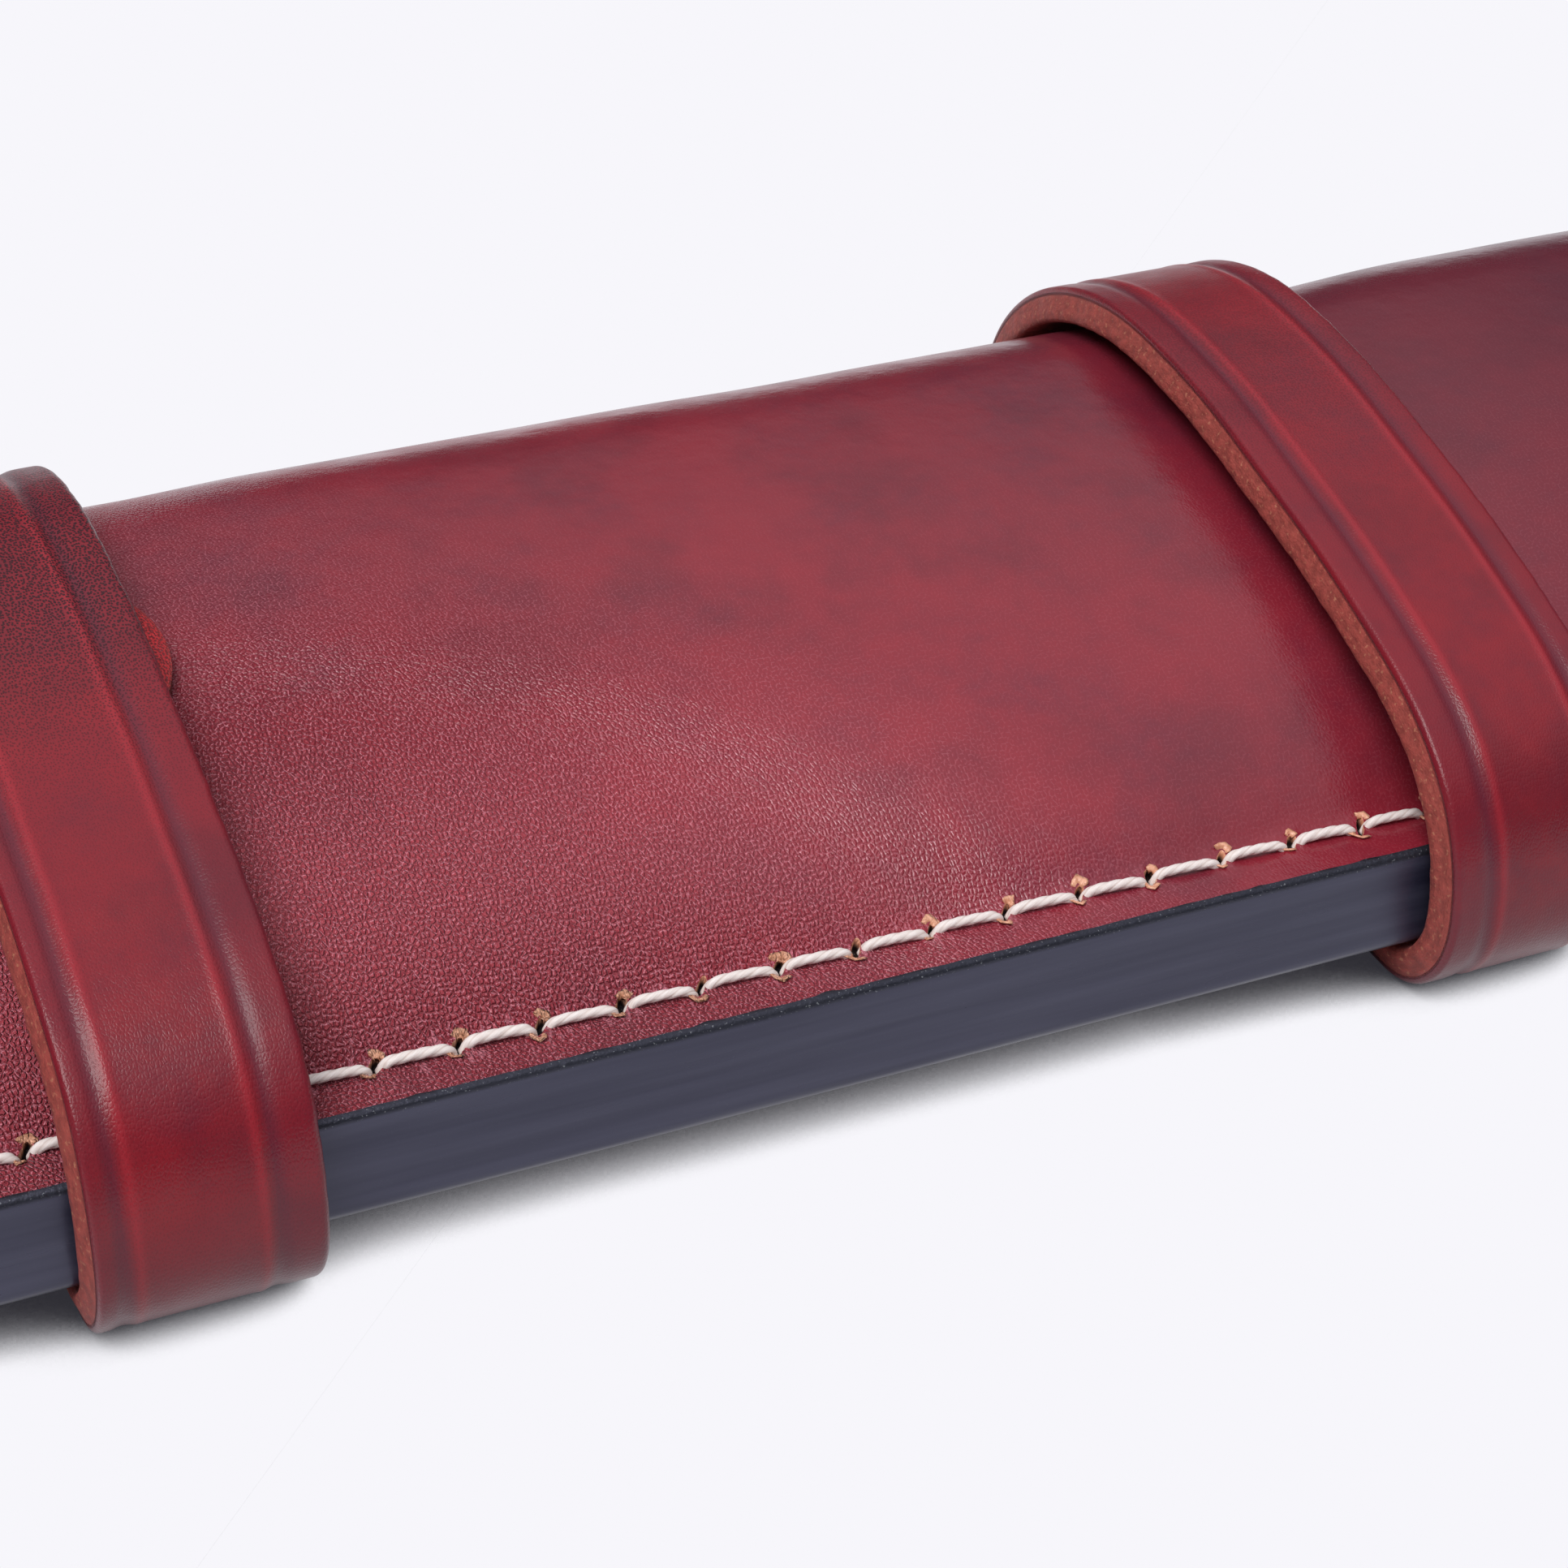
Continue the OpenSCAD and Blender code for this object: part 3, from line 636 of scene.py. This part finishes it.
# ---- waxed thread ----
def stitch(b, line, radius, seed, twist=2.4, around=20):
    """Tube of three twisted strands along a line of points."""
    line = np.asarray(line, float)
    s = lengths(line)
    fine = np.linspace(0, s[-1], max(10, int(s[-1] / 0.12)))
    c = np.stack([np.interp(fine, s, line[:, i]) for i in range(3)], 1)
    d = np.gradient(c, axis=0)
    d /= np.linalg.norm(d, axis=1)[:, None]
    side = np.cross(d, [0.02, 0.05, 1.0])
    side /= np.linalg.norm(side, axis=1)[:, None]
    up = np.cross(side, d)
    a = np.linspace(0, 2 * math.pi, around, endpoint=False)
    phase = np.random.default_rng(seed).uniform(0, 6)
    strand = np.abs(np.cos(1.5 * (a[None] - 2 * math.pi * fine[:, None] / twist - phase))) ** 0.6
    r = radius * (0.82 + 0.22 * strand)
    outward = np.cos(a)[None, :, None] * side[:, None] + np.sin(a)[None, :, None] * up[:, None]
    p = c[:, None] + r[..., None] * outward
    turned = a[None] / (2 * math.pi) * 2 - 2 * fine[:, None] / twist
    i = b.points(p, unrolled(fine[:, None] + seed % 97, turned), deep=1 - strand)
    b.grid(i, close=True)
    b.face(i[0][::-1])
    b.face(i[-1])


def arch(start, stop, lift, down, curve=(0, 0, 0), n=24):
    """Line of a stitch from hole to hole: up out of one, over the leather and down into the next."""
    start, stop, lift = np.array(start, float), np.array(stop, float), np.array(lift, float)
    t = np.linspace(0, 1, n)[:, None]
    rise = 1 - np.abs(2 * t - 1) ** 9
    bow = np.sin(np.pi * t)
    over = lift * (rise * 0.92 + bow * 0.08) - lift * down * (1 - rise)
    return start + (stop - start) * t + over + np.array(curve) * bow


def seam_thread():
    b = Build()
    r = np.random.default_rng(4)
    for k in range(len(HOLES) - 1):
        for row, hs in enumerate((TOP_HOLE, LOW_HOLE)):
            x0, x1 = HOLES[k] + 0.24 + r.uniform(-0.1, 0.1), HOLES[k + 1] - 0.36 + r.uniform(-0.12, 0.12)
            lean = 0.22 + r.uniform(-0.06, 0.06)
            s0, s1 = hs + (lean if row == 0 else -lean) * -0.2, hs - (lean if row == 0 else -lean)
            a, c = on_skin(x0, s0), on_skin(x1, s1)
            n = skin.normal(hs)
            lift = np.array([0, n[0], n[1]]) * (THREAD_R - 0.05 + r.uniform(0, 0.05))
            curve = (0, r.uniform(-0.05, 0.05), 0.03 * (1 - 2 * row))
            radius = THREAD_R * r.uniform(0.93, 1.04)
            stitch(b, arch(a, c, lift, 1.9, curve), radius, 50 * k + row, r.uniform(2.1, 2.6))
    obj = b.make("seam_thread", thread)
    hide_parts("seam_stitches")
    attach(obj, "case")
    return obj


def end_thread():
    """Stitches round the closed end; each lies along the bend of the skin."""
    b = Build()
    r = np.random.default_rng(14)
    for k in range(len(END_S) - 1):
        s = np.linspace(END_S[k] + 0.3, END_S[k + 1] - 0.35, 20)
        t = np.linspace(0, 1, 20)
        rise = 1 - np.abs(2 * t - 1) ** 6
        out = THREAD_R * (rise * 1.05 - 1.6 * (1 - rise)) + 0.03
        x = END_X + 0.12 - 0.24 * t + r.uniform(-0.03, 0.03)
        stitch(b, on_skin(x, s, out), THREAD_R * r.uniform(0.93, 1.02), 700 + k)
    obj = b.make("end_thread", thread)
    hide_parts("end_stitches")
    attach(obj, "case")
    return obj


def flakes():
    """Raw leather that the awl tore up beside the holes: a small jagged scrap at each end of a slit."""
    b = Build()
    r = np.random.default_rng(8)
    u = np.array([math.cos(SLANT), math.sin(SLANT)])
    v = np.array([-u[1], u[0]])
    for hx in HOLES:
        for hs, end, keep in ((TOP_HOLE, 1, 0.95), (TOP_HOLE, -1, 0.95), (LOW_HOLE, -1, 0.6)):
            if r.random() > keep:
                continue
            big = r.uniform(1.25, 1.95)
            n = 5
            a = np.linspace(-1.5, 1.5, n) + r.uniform(-0.2, 0.2, n)
            reach = big * (0.2 + 0.17 * r.random(n)) * (1 - 0.25 * np.abs(a) / 1.5)
            c = end * 0.52 * u + 0.07 * r.standard_normal(2)
            skew = r.uniform(-0.5, 0.5)
            spread = (c + end * (np.cos(a + skew) * reach)[:, None] * u
                      + (np.sin(a + skew) * reach * 1.3)[:, None] * v)
            foot = c + 0.3 * (spread - c) - end * 0.08 * u
            tilt = 0.1 + 0.14 * r.random(n)
            low = on_skin(hx + foot[:, 0], hs + foot[:, 1], 0.0)
            mid = on_skin(hx + (spread + foot)[:, 0] / 2, hs + (spread + foot)[:, 1] / 2, 0.07 + tilt / 2)
            tip = on_skin(hx + spread[:, 0], hs + spread[:, 1], tilt)
            under = on_skin(hx + spread[:, 0] * 0.97, hs + spread[:, 1] * 0.97, tilt - 0.05)
            back = on_skin(hx + foot[:, 0], hs + foot[:, 1], -0.2)
            rows = [b.points(q, deep=d)
                    for q, d in ((low, 0.35), (mid, 0.28), (tip, 0.24), (under, 0.3), (back, 0.4))]
            b.grid(np.stack(rows))
            b.grid(np.stack([rows[-1], rows[0]]))
            for e in (0, -1):
                b.face([q[e] for q in rows])
    obj = b.make("seam_torn_edges", sleeve_leather)
    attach(obj, "case")
    return obj


# ---- keeper bands: the left cut face leans by BEVEL, which fades out over BEVEL_W ----
BEVEL, BEVEL_W = 0.42, 1.4
BAND_TOP, BAND_ROUND = 1.99, 0.42


def band_section(ribs):
    """Closed outline of a band whose creased lines lie at ribs from its two sides: width, height,
    how far each point is cut edge, the painted shading there and the depth of the crease."""
    w = np.concatenate([[0.02, 0.06, 0.12, 0.2, 0.3, 0.42, 0.6, 0.8], np.linspace(1.0, 4.4, 35),
                        np.linspace(4.7, BAND_W / 2, 3)])
    w = np.concatenate([w, (BAND_W - w[::-1])[1:]])
    rib = np.where(w < BAND_W / 2, ribs[0], ribs[1])
    q = np.minimum(w, BAND_W - w)
    groove = np.exp(-(((q - rib + 0.7) / 0.42) ** 2))
    ridge = np.exp(-(((q - rib) / 0.26) ** 2))
    lean = np.where(w < BEVEL_W, BEVEL + w * (BEVEL_W - BEVEL) / BEVEL_W, w)
    # painted shade and reflection in the crease's groove and on the strip beside the edge; a painted
    # highlight on the crease's ridge
    dye = 0.75 * groove - 0.9 * ridge + 0.25 * (q < rib - 0.5)
    crease = 0.05 * ridge - 0.15 * groove
    face = list(zip(lean, BAND_TOP - rounded(q, BAND_ROUND), 0.0 * w, dye, crease))
    right = [(BAND_W, 1.54, 0.7), (BAND_W, 1.4, 0.95), (BAND_W + 0.02, 1.0, 1.0), (BAND_W + 0.02, 0.65, 1.0),
             (BAND_W - 0.02, 0.3, 1.0), (BAND_W - 0.1, 0.1, 1.0), (BAND_W - 0.3, 0.01, 1.0)]
    right = [(*q, 0.0, 0.0) for q in right]
    inner = [(q, 0.0, 1.0, 0.0, 0.0) for q in np.linspace(BAND_W - 0.8, 0.8, 9)]
    left = [(BAND_W - q[0] + BEVEL * float(np.clip((q[1] - 0.3) / 1.25, 0, 1)), *q[1:]) for q in right[::-1]]
    return np.array(face + right + inner + left)


def band(name, x0, body, nodes, seed, ribs):
    b = Build()
    s = np.linspace(0, band_path.length, 330)
    sec = band_section(ribs)
    c, n = band_path.at(s), -band_path.normal(s)
    sway = wave(seed, 9, 17, 40)(s) * 0.1
    ragged = [wave(seed + 1 + k, 1.1, 2.3, 4.1) for k in (0, 1)]
    soft = wave(seed + 5, 14, 23)(s) * 0.05
    ends = np.minimum(s, s[-1] - s)
    thin = np.where(ends < 0.3, 0.12 * (1 - ends / 0.3), 0.0)
    w = sec[None, :, 0] + 0 * s[:, None]
    side = (np.abs(sec[:, 0] - BAND_W / 2) > BAND_W / 2 - 0.35)[None]
    w = w + side * np.where(sec[None, :, 0] > 5, ragged[0](s)[:, None], ragged[1](s)[:, None]) * 0.05
    half_thin = 0.5 * thin[:, None]
    t = sec[None, :, 1] * (1 - half_thin) + half_thin + soft[:, None] * (sec[None, :, 1] / 2) ** 2
    t = t + np.interp(c[:, 0], [-1, 4], [0.45, 1.0])[:, None] * sec[None, :, 4]
    x = x0 + w + sway[:, None] * 0.6
    yz = c[:, None] + t[..., None] * n[:, None]
    p = np.concatenate([x[..., None], yz], -1)
    flat = unrolled(lengths(sec[:, :2]) + 40 * seed, s[:, None])
    # painted shade and floor reflection: the lower part of the nose is marked darker and more mauve
    low = np.interp(c[:, 1], [-1, 5], [0.7, 0.0])
    i = b.points(p, flat, cut=np.broadcast_to(sec[:, 2], p.shape[:2]), dye=sec[None, :, 3] + low[:, None])
    b.grid(i, close=True)
    for e, flip in ((0, 1), (-1, -1)):
        hub = b.points(p[e].mean(0)[None], flat[e].mean(0)[None], cut=1.0)[0]
        for k in range(len(sec)):
            m = (k + 1) % len(sec)
            b.face([i[e][k], i[e][m], hub][::flip])
    obj = b.make(name, band_leather, sharp=70)
    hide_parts(nodes[0])
    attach(obj, body)
    # three stitches that close the strip's joint at the back
    b = Build()
    y = B_BACK + LEATHER
    reach = 2.62
    for k in (-1, 0, 1):
        v = x0 + BAND_W / 2 + k * (BAND_W / 2 - 1.2)
        z = np.linspace(-reach, reach, 30)
        lift = 0.3 - 1.1 * (np.abs(z) / reach) ** 12
        stitch(b, np.stack([v + 0 * z, y + lift - 0.01, B_MID + z], 1), THREAD_R, 900 + 10 * seed + k)
    sewn = b.make(name + "_thread", thread)
    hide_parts(nodes[1])
    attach(sewn, body)
    return obj


# ---- flap: two pieces of the sleeve's own leather, which meet in the cover. Its outline lies in X-Z,
# at a distance y from the sewn edge: under the mouth, up the cover, round the upper bend, along the top
FLAP_IN, FLAP_W, FLAP_L, FLAP_ROUND, BEND_R, LAY = 5.0, 35.0, 38.5, 8.0, 1.0, 0.25
LOWER_Z = LEATHER - DROP + BEND_R
COVER_SPLIT = 3.2


SIDE_ROUND = 0.45


def bend_line(y):
    """Centre of the upper bend at a distance y from the sewn edge, and the top's normal there."""
    s = top_s(y)
    n = top.normal(s)
    return top.at(s) + (LAY - BEND_R) * n, n


def sheet_piece(name, y, rows, nodes):
    """Closed sheet from rows of (outer points, inner points, length, cut) that lie across the flap."""
    b = Build()
    outer, inner, s, cuts = (np.stack([r[k] for r in rows]) for k in range(4))
    flat = unrolled(s[:, None], y + 300)
    o = b.points(outer, flat, cut=cuts)
    m = b.points(inner, flat + [0, 100, 0], cut=0.9)
    b.grid(o)
    b.grid(m)
    for q, k in ((o[0], m[0]), (o[-1], m[-1]), (o[:, 0], m[:, 0]), (o[:, -1], m[:, -1])):
        p, f = np.vstack(b.v), np.vstack(b.flat)
        loops = [q]
        for t in (0.0, 0.35, 0.7, 1.0):
            loops.append(b.points(p[q] * (1 - t) + p[k] * t, f[q] + [0, 0, 3 + 2 * t], cut=1.0))
        loops.append(k)
        for u, v in zip(loops, loops[1:]):
            b.grid(np.stack([u, v]))
    obj = b.make(name, sleeve_leather, sharp=50)
    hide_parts(*nodes)
    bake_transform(obj)
    return obj


def flap():
    outer_r = BEND_R + LEATHER
    ys = np.concatenate([np.arange(0, 1.01, 0.25), np.linspace(1.5, FLAP_W - 1.5, 60),
                         FLAP_W - np.arange(1, -0.01, -0.25)])
    edge = np.minimum(ys, FLAP_W - ys)
    dip = rounded(edge, SIDE_ROUND)
    side = (edge < 0.2) * 0.8
    y = FLAP_IN + ys

    def row(outer, inner, length, cut=side):
        faces = [np.stack([np.broadcast_to(v, y.shape) for v in face], 1) for face in (outer, inner)]
        return *faces, length, cut

    # lower piece: root under the mouth, bend, lower part of the cover
    rows = []
    fold = np.argmax(skin.p[::-1, 0])
    bottom = np.interp(y, skin.p[::-1, 0][:fold], skin.p[::-1, 1][:fold])
    for a in np.radians(np.concatenate([[0.0, 1.9], np.arange(6, 91, 6)])):
        low = LOWER_Z - outer_r * np.cos(a)
        z = low + (bottom + DROP) * np.exp(-a * 3.0) + dip * math.cos(a)
        rows.append(row(
            (MOUTH - outer_r * math.sin(a) + dip * math.sin(a), y, z),
            (MOUTH - BEND_R * math.sin(a), y, LOWER_Z - BEND_R * math.cos(a)),
            outer_r * a,
        ))
    split = LOWER_Z + COVER_SPLIT
    for z in np.linspace(LOWER_Z + 0.3, split, 6):
        rows.append(row((MOUTH - outer_r + dip, y, z), (MOUTH - BEND_R, y, z),
                        outer_r * math.pi / 2 + z - LOWER_Z))
    sheet_piece("flap_root", y, rows,
                ("flap_lower_bend",))

    # upper piece: rest of the cover, upper bend and the panel with its two round corners
    rows = []
    centre, n = bend_line(y)
    base = outer_r * math.pi / 2
    for k in range(12):
        t = k / 11
        z = split + (centre[:, 1] - split) * t
        across = y + (centre[:, 0] - y) * t
        rows.append(row((MOUTH - outer_r + dip, across, z), (MOUTH - BEND_R, across, z),
                        base + COVER_SPLIT + 9 * t))
    base += COVER_SPLIT + 9

    def raised(x, h):
        return x, centre[:, 0] + h * n[:, 0], centre[:, 1] + h * n[:, 1]

    for a in np.radians(np.arange(6, 91, 6)):
        r = outer_r - dip
        rows.append(row(raised(MOUTH - r * np.cos(a), r * np.sin(a)),
                        raised(MOUTH - BEND_R * math.cos(a), BEND_R * math.sin(a)), base + outer_r * a))
    base += outer_r * math.pi / 2
    # distances along the panel, drawn back at the corners so that the end is one smooth curve
    full = FLAP_L - np.minimum(rounded(edge, FLAP_ROUND), FLAP_ROUND * 0.985)

    def panel_row(d, gap, length, cut=side):
        h = LAY + LEATHER - np.maximum(dip, rounded(gap, SIDE_ROUND))
        return row(raised(MOUTH + d, BEND_R - LAY + h), raised(MOUTH + d, BEND_R), length, cut)

    for t in np.concatenate([np.linspace(0.02, 0.96, 52), [0.985]]):
        d = full * t
        rows.append(panel_row(d, full - d, base + float(full.max() * t)))
    for gap in (0.3, 0.16, 0.06, 0.0):
        rows.append(panel_row(full - gap, np.full_like(y, gap), base + float(full.max() - gap),
                              np.maximum(side, 0.8 * (gap < 0.2))))
    sheet_piece("flap_leather", y, rows,
                ("flap_cover", "flap_upper_bend", "flap_panel"))


# ---- tongue that tucks under the first band ----
TONGUE_W, TONGUE_T, TONGUE_IN = 14.0, 1.0, 25.5
TIP_OUT, LAP = 1.5, 16.0
TIP_X = BAND_X[0] + BAND_W + TIP_OUT
ROOT_X = MOUTH + FLAP_L - LAP


def tongue():
    b = Build()
    r = TONGUE_W / 2
    v = np.concatenate([[0, 0.06, 0.18, 0.35], np.linspace(0.8, TONGUE_W - 0.8, 33),
                        TONGUE_W - np.array([0.35, 0.18, 0.06, 0])])
    half = np.abs(v - r)
    tip = r - np.sqrt(np.maximum(0, r**2 - half**2))
    full = TIP_X - ROOT_X - np.minimum(tip, r * 0.97)
    y = TONGUE_IN - r + v
    s = top_s(y)
    share = np.concatenate([np.linspace(0, 0.99, 60), [1.0]])
    d = full[None] * share[:, None]
    gap = np.minimum(np.minimum(v, TONGUE_W - v)[None] + 0 * d, full[None] - d)
    x = ROOT_X + d
    up = top.at(s)[None] + (LAY + TONGUE_T - rounded(gap, 0.3))[..., None] * top.normal(s)[None]
    low = top.at(s)[None] + (LAY + 0 * d)[..., None] * top.normal(s)[None]
    o_p = np.concatenate([x[..., None], up], -1)
    i_p = np.concatenate([x[..., None], low], -1)
    flat = unrolled(d, v)
    o = b.points(o_p, flat, cut=(gap < 0.1) * 0.4)
    m = b.points(i_p, flat + [0, 50, 0], cut=1.0)
    b.grid(o)
    b.grid(m)
    for q, k in ((o[0], m[0]), (o[-1], m[-1]), (o[:, 0], m[:, 0]), (o[:, -1], m[:, -1])):
        b.grid(np.stack([q, k]))
    obj = b.make("tongue_leather", tan_leather, sharp=50)
    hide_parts("flap_tongue")
    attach(obj, "flap_top")
    b = Build()
    for row in (TONGUE_IN - r + SEAM_IN, TONGUE_IN + r - SEAM_IN):
        s0 = float(top_s(row))
        for k in range(3):
            x0 = ROOT_X + 2 + PITCH * k
            p = np.array([[x_, *(top.at(s0) + h * top.normal(s0))] for x_, h in
                          ((x0 + 0.3, LAY + LEATHER), (x0 + PITCH - 0.4, LAY + LEATHER))])
            n = top.normal(s0)
            stitch(b, arch(p[0], p[1], np.array([0, n[0], n[1]]) * 0.3, 1.8), THREAD_R, 1100 + k)
    sewn = b.make("tongue_thread", thread)
    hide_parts("tongue_stitches")
    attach(sewn, "flap_top")
    return obj


# ---- making it all ----
sleeve()
paint()
seam_thread()
end_thread()
flakes()
band("band_left_leather", BAND_X[0], "keeper_left", ("band_left", "band_left_stitches"), 1, (2.4, 2.9))
band("band_right_leather", BAND_X[1], "keeper_right", ("band_right", "band_right_stitches"), 2, (3.2, 2.3))
flap()
tongue()
for node, material in (("welt", welt_leather), ("end_plug", plug_leather)):
    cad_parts[node].data.materials.clear()
    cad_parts[node].data.materials.append(material)

# ---- floor, light and camera ----
PAPER = (0.930, 0.922, 0.965)
SHADOW = (0.028, 0.027, 0.034)
SHADOW_REACH = 14
FLOOR = 6
scene = bpy.context.scene
floor_mesh = bpy.data.meshes.new("floor")
corners = [(-FLOOR, -FLOOR, 0), (FLOOR, -FLOOR, 0), (FLOOR, FLOOR, 0), (-FLOOR, FLOOR, 0)]
floor_mesh.from_pydata(corners, [], [(0, 1, 2, 3)])
floor = bpy.data.objects.new("floor", floor_mesh)
scene.collection.objects.link(floor)
ground = Nodes("floor")
ground.set(Base_Color=(0.45, 0.45, 0.47), Roughness=0.9, Specular_IOR_Level=0.1)
# what the camera sees is the paper's own colour, darkened where the part stands close over it; the
# normal leans towards +X, so the floor is darkest to the left of what stands on it
lean = ground.add("CombineXYZ", {0: 0.26, 1: 0.0, 2: 0.966})
near = ground.add("AmbientOcclusion", {"Distance": SHADOW_REACH * MM, "Normal": lean.outputs[0]}, samples=24)
shade = ground.ramp(near.outputs["AO"], 0.13, 0.4, 0.0, 1.0, smooth=False)
shade = ground.math("POWER", shade, 1.45)
seen = ground.mix(shade, SHADOW, PAPER)
plain = ground.add("Emission", {"Color": seen, "Strength": 1.0})
rays = ground.add("LightPath")
through = ground.math("MAXIMUM", rays.outputs["Is Glossy Ray"], rays.outputs["Is Transmission Ray"])
direct = ground.math("MAXIMUM", rays.outputs["Is Camera Ray"], through)
both = ground.add("MixShader", {0: direct, 1: ground.shader.outputs[0], 2: plain.outputs[0]})
ground.put(ground.t.nodes["Material Output"].inputs["Surface"], both.outputs[0])
floor_mesh.materials.append(ground.m)

# a room that is dark round the part and bright overhead
world = bpy.data.worlds.new("studio")
scene.world = world
world.use_nodes = True
sky = world.node_tree
direction = sky.nodes.new("ShaderNodeTexCoord")
split = sky.nodes.new("ShaderNodeSeparateXYZ")
climb = sky.nodes.new("ShaderNodeMapRange")
sky.links.new(direction.outputs["Generated"], split.inputs[0])
sky.links.new(split.outputs[2], climb.inputs["Value"])
for label, v in (("From Min", 0.35), ("From Max", 0.8), ("To Min", 0.07), ("To Max", 0.75)):
    climb.inputs[label].default_value = v
sky.nodes["Background"].inputs[0].default_value = (0.93, 0.94, 1.0, 1)
sky.links.new(climb.outputs[0], sky.nodes["Background"].inputs[1])


def sun(name, azimuth, height, strength, angle):
    """A soft, even light from a compass azimuth (0 is in front, 90 to the right) and height in degrees."""
    light = bpy.data.lights.new(name, "SUN")
    light.energy, light.angle = strength, math.radians(angle)
    obj = bpy.data.objects.new(name, light)
    a, h = math.radians(azimuth), math.radians(height)
    back = Vector((math.sin(a) * math.cos(h), -math.cos(a) * math.cos(h), math.sin(h)))
    obj.rotation_euler = back.to_track_quat("Z", "Y").to_euler()
    scene.collection.objects.link(obj)


sun("key", azimuth=-48, height=58, strength=2.15, angle=38)

camera = bpy.data.cameras.new("camera")
camera.lens, camera.sensor_width = 82.66, 36
camera.clip_start, camera.clip_end = 0.01, 20
eye = bpy.data.objects.new("camera", camera)
turn, tip, roll = math.radians(-24.95), math.radians(32.92), math.radians(1.55)
level = Vector((math.cos(turn), math.sin(turn), 0))
rise = Vector((-math.sin(turn) * math.sin(tip), math.cos(turn) * math.sin(tip), math.cos(tip)))
back = Vector((math.sin(turn) * math.cos(tip), -math.cos(turn) * math.cos(tip), math.sin(tip)))
right = math.cos(roll) * level + math.sin(roll) * rise
up = math.cos(roll) * rise - math.sin(roll) * level
place = Matrix((right, up, back)).transposed().to_4x4()
# the camera's place in mm: X in the frame, Y from the sewn edge, Z above its top
EYE = -38.1 - 25.0, -122.1, 99.77
place.translation = Vector((EYE[0], EYE[1] + SHIFT[1], EYE[2] + EDGE_H + SHIFT[2])) * MM
eye.matrix_world = place
scene.collection.objects.link(eye)
scene.camera = eye

scene.view_settings.view_transform = "Standard"
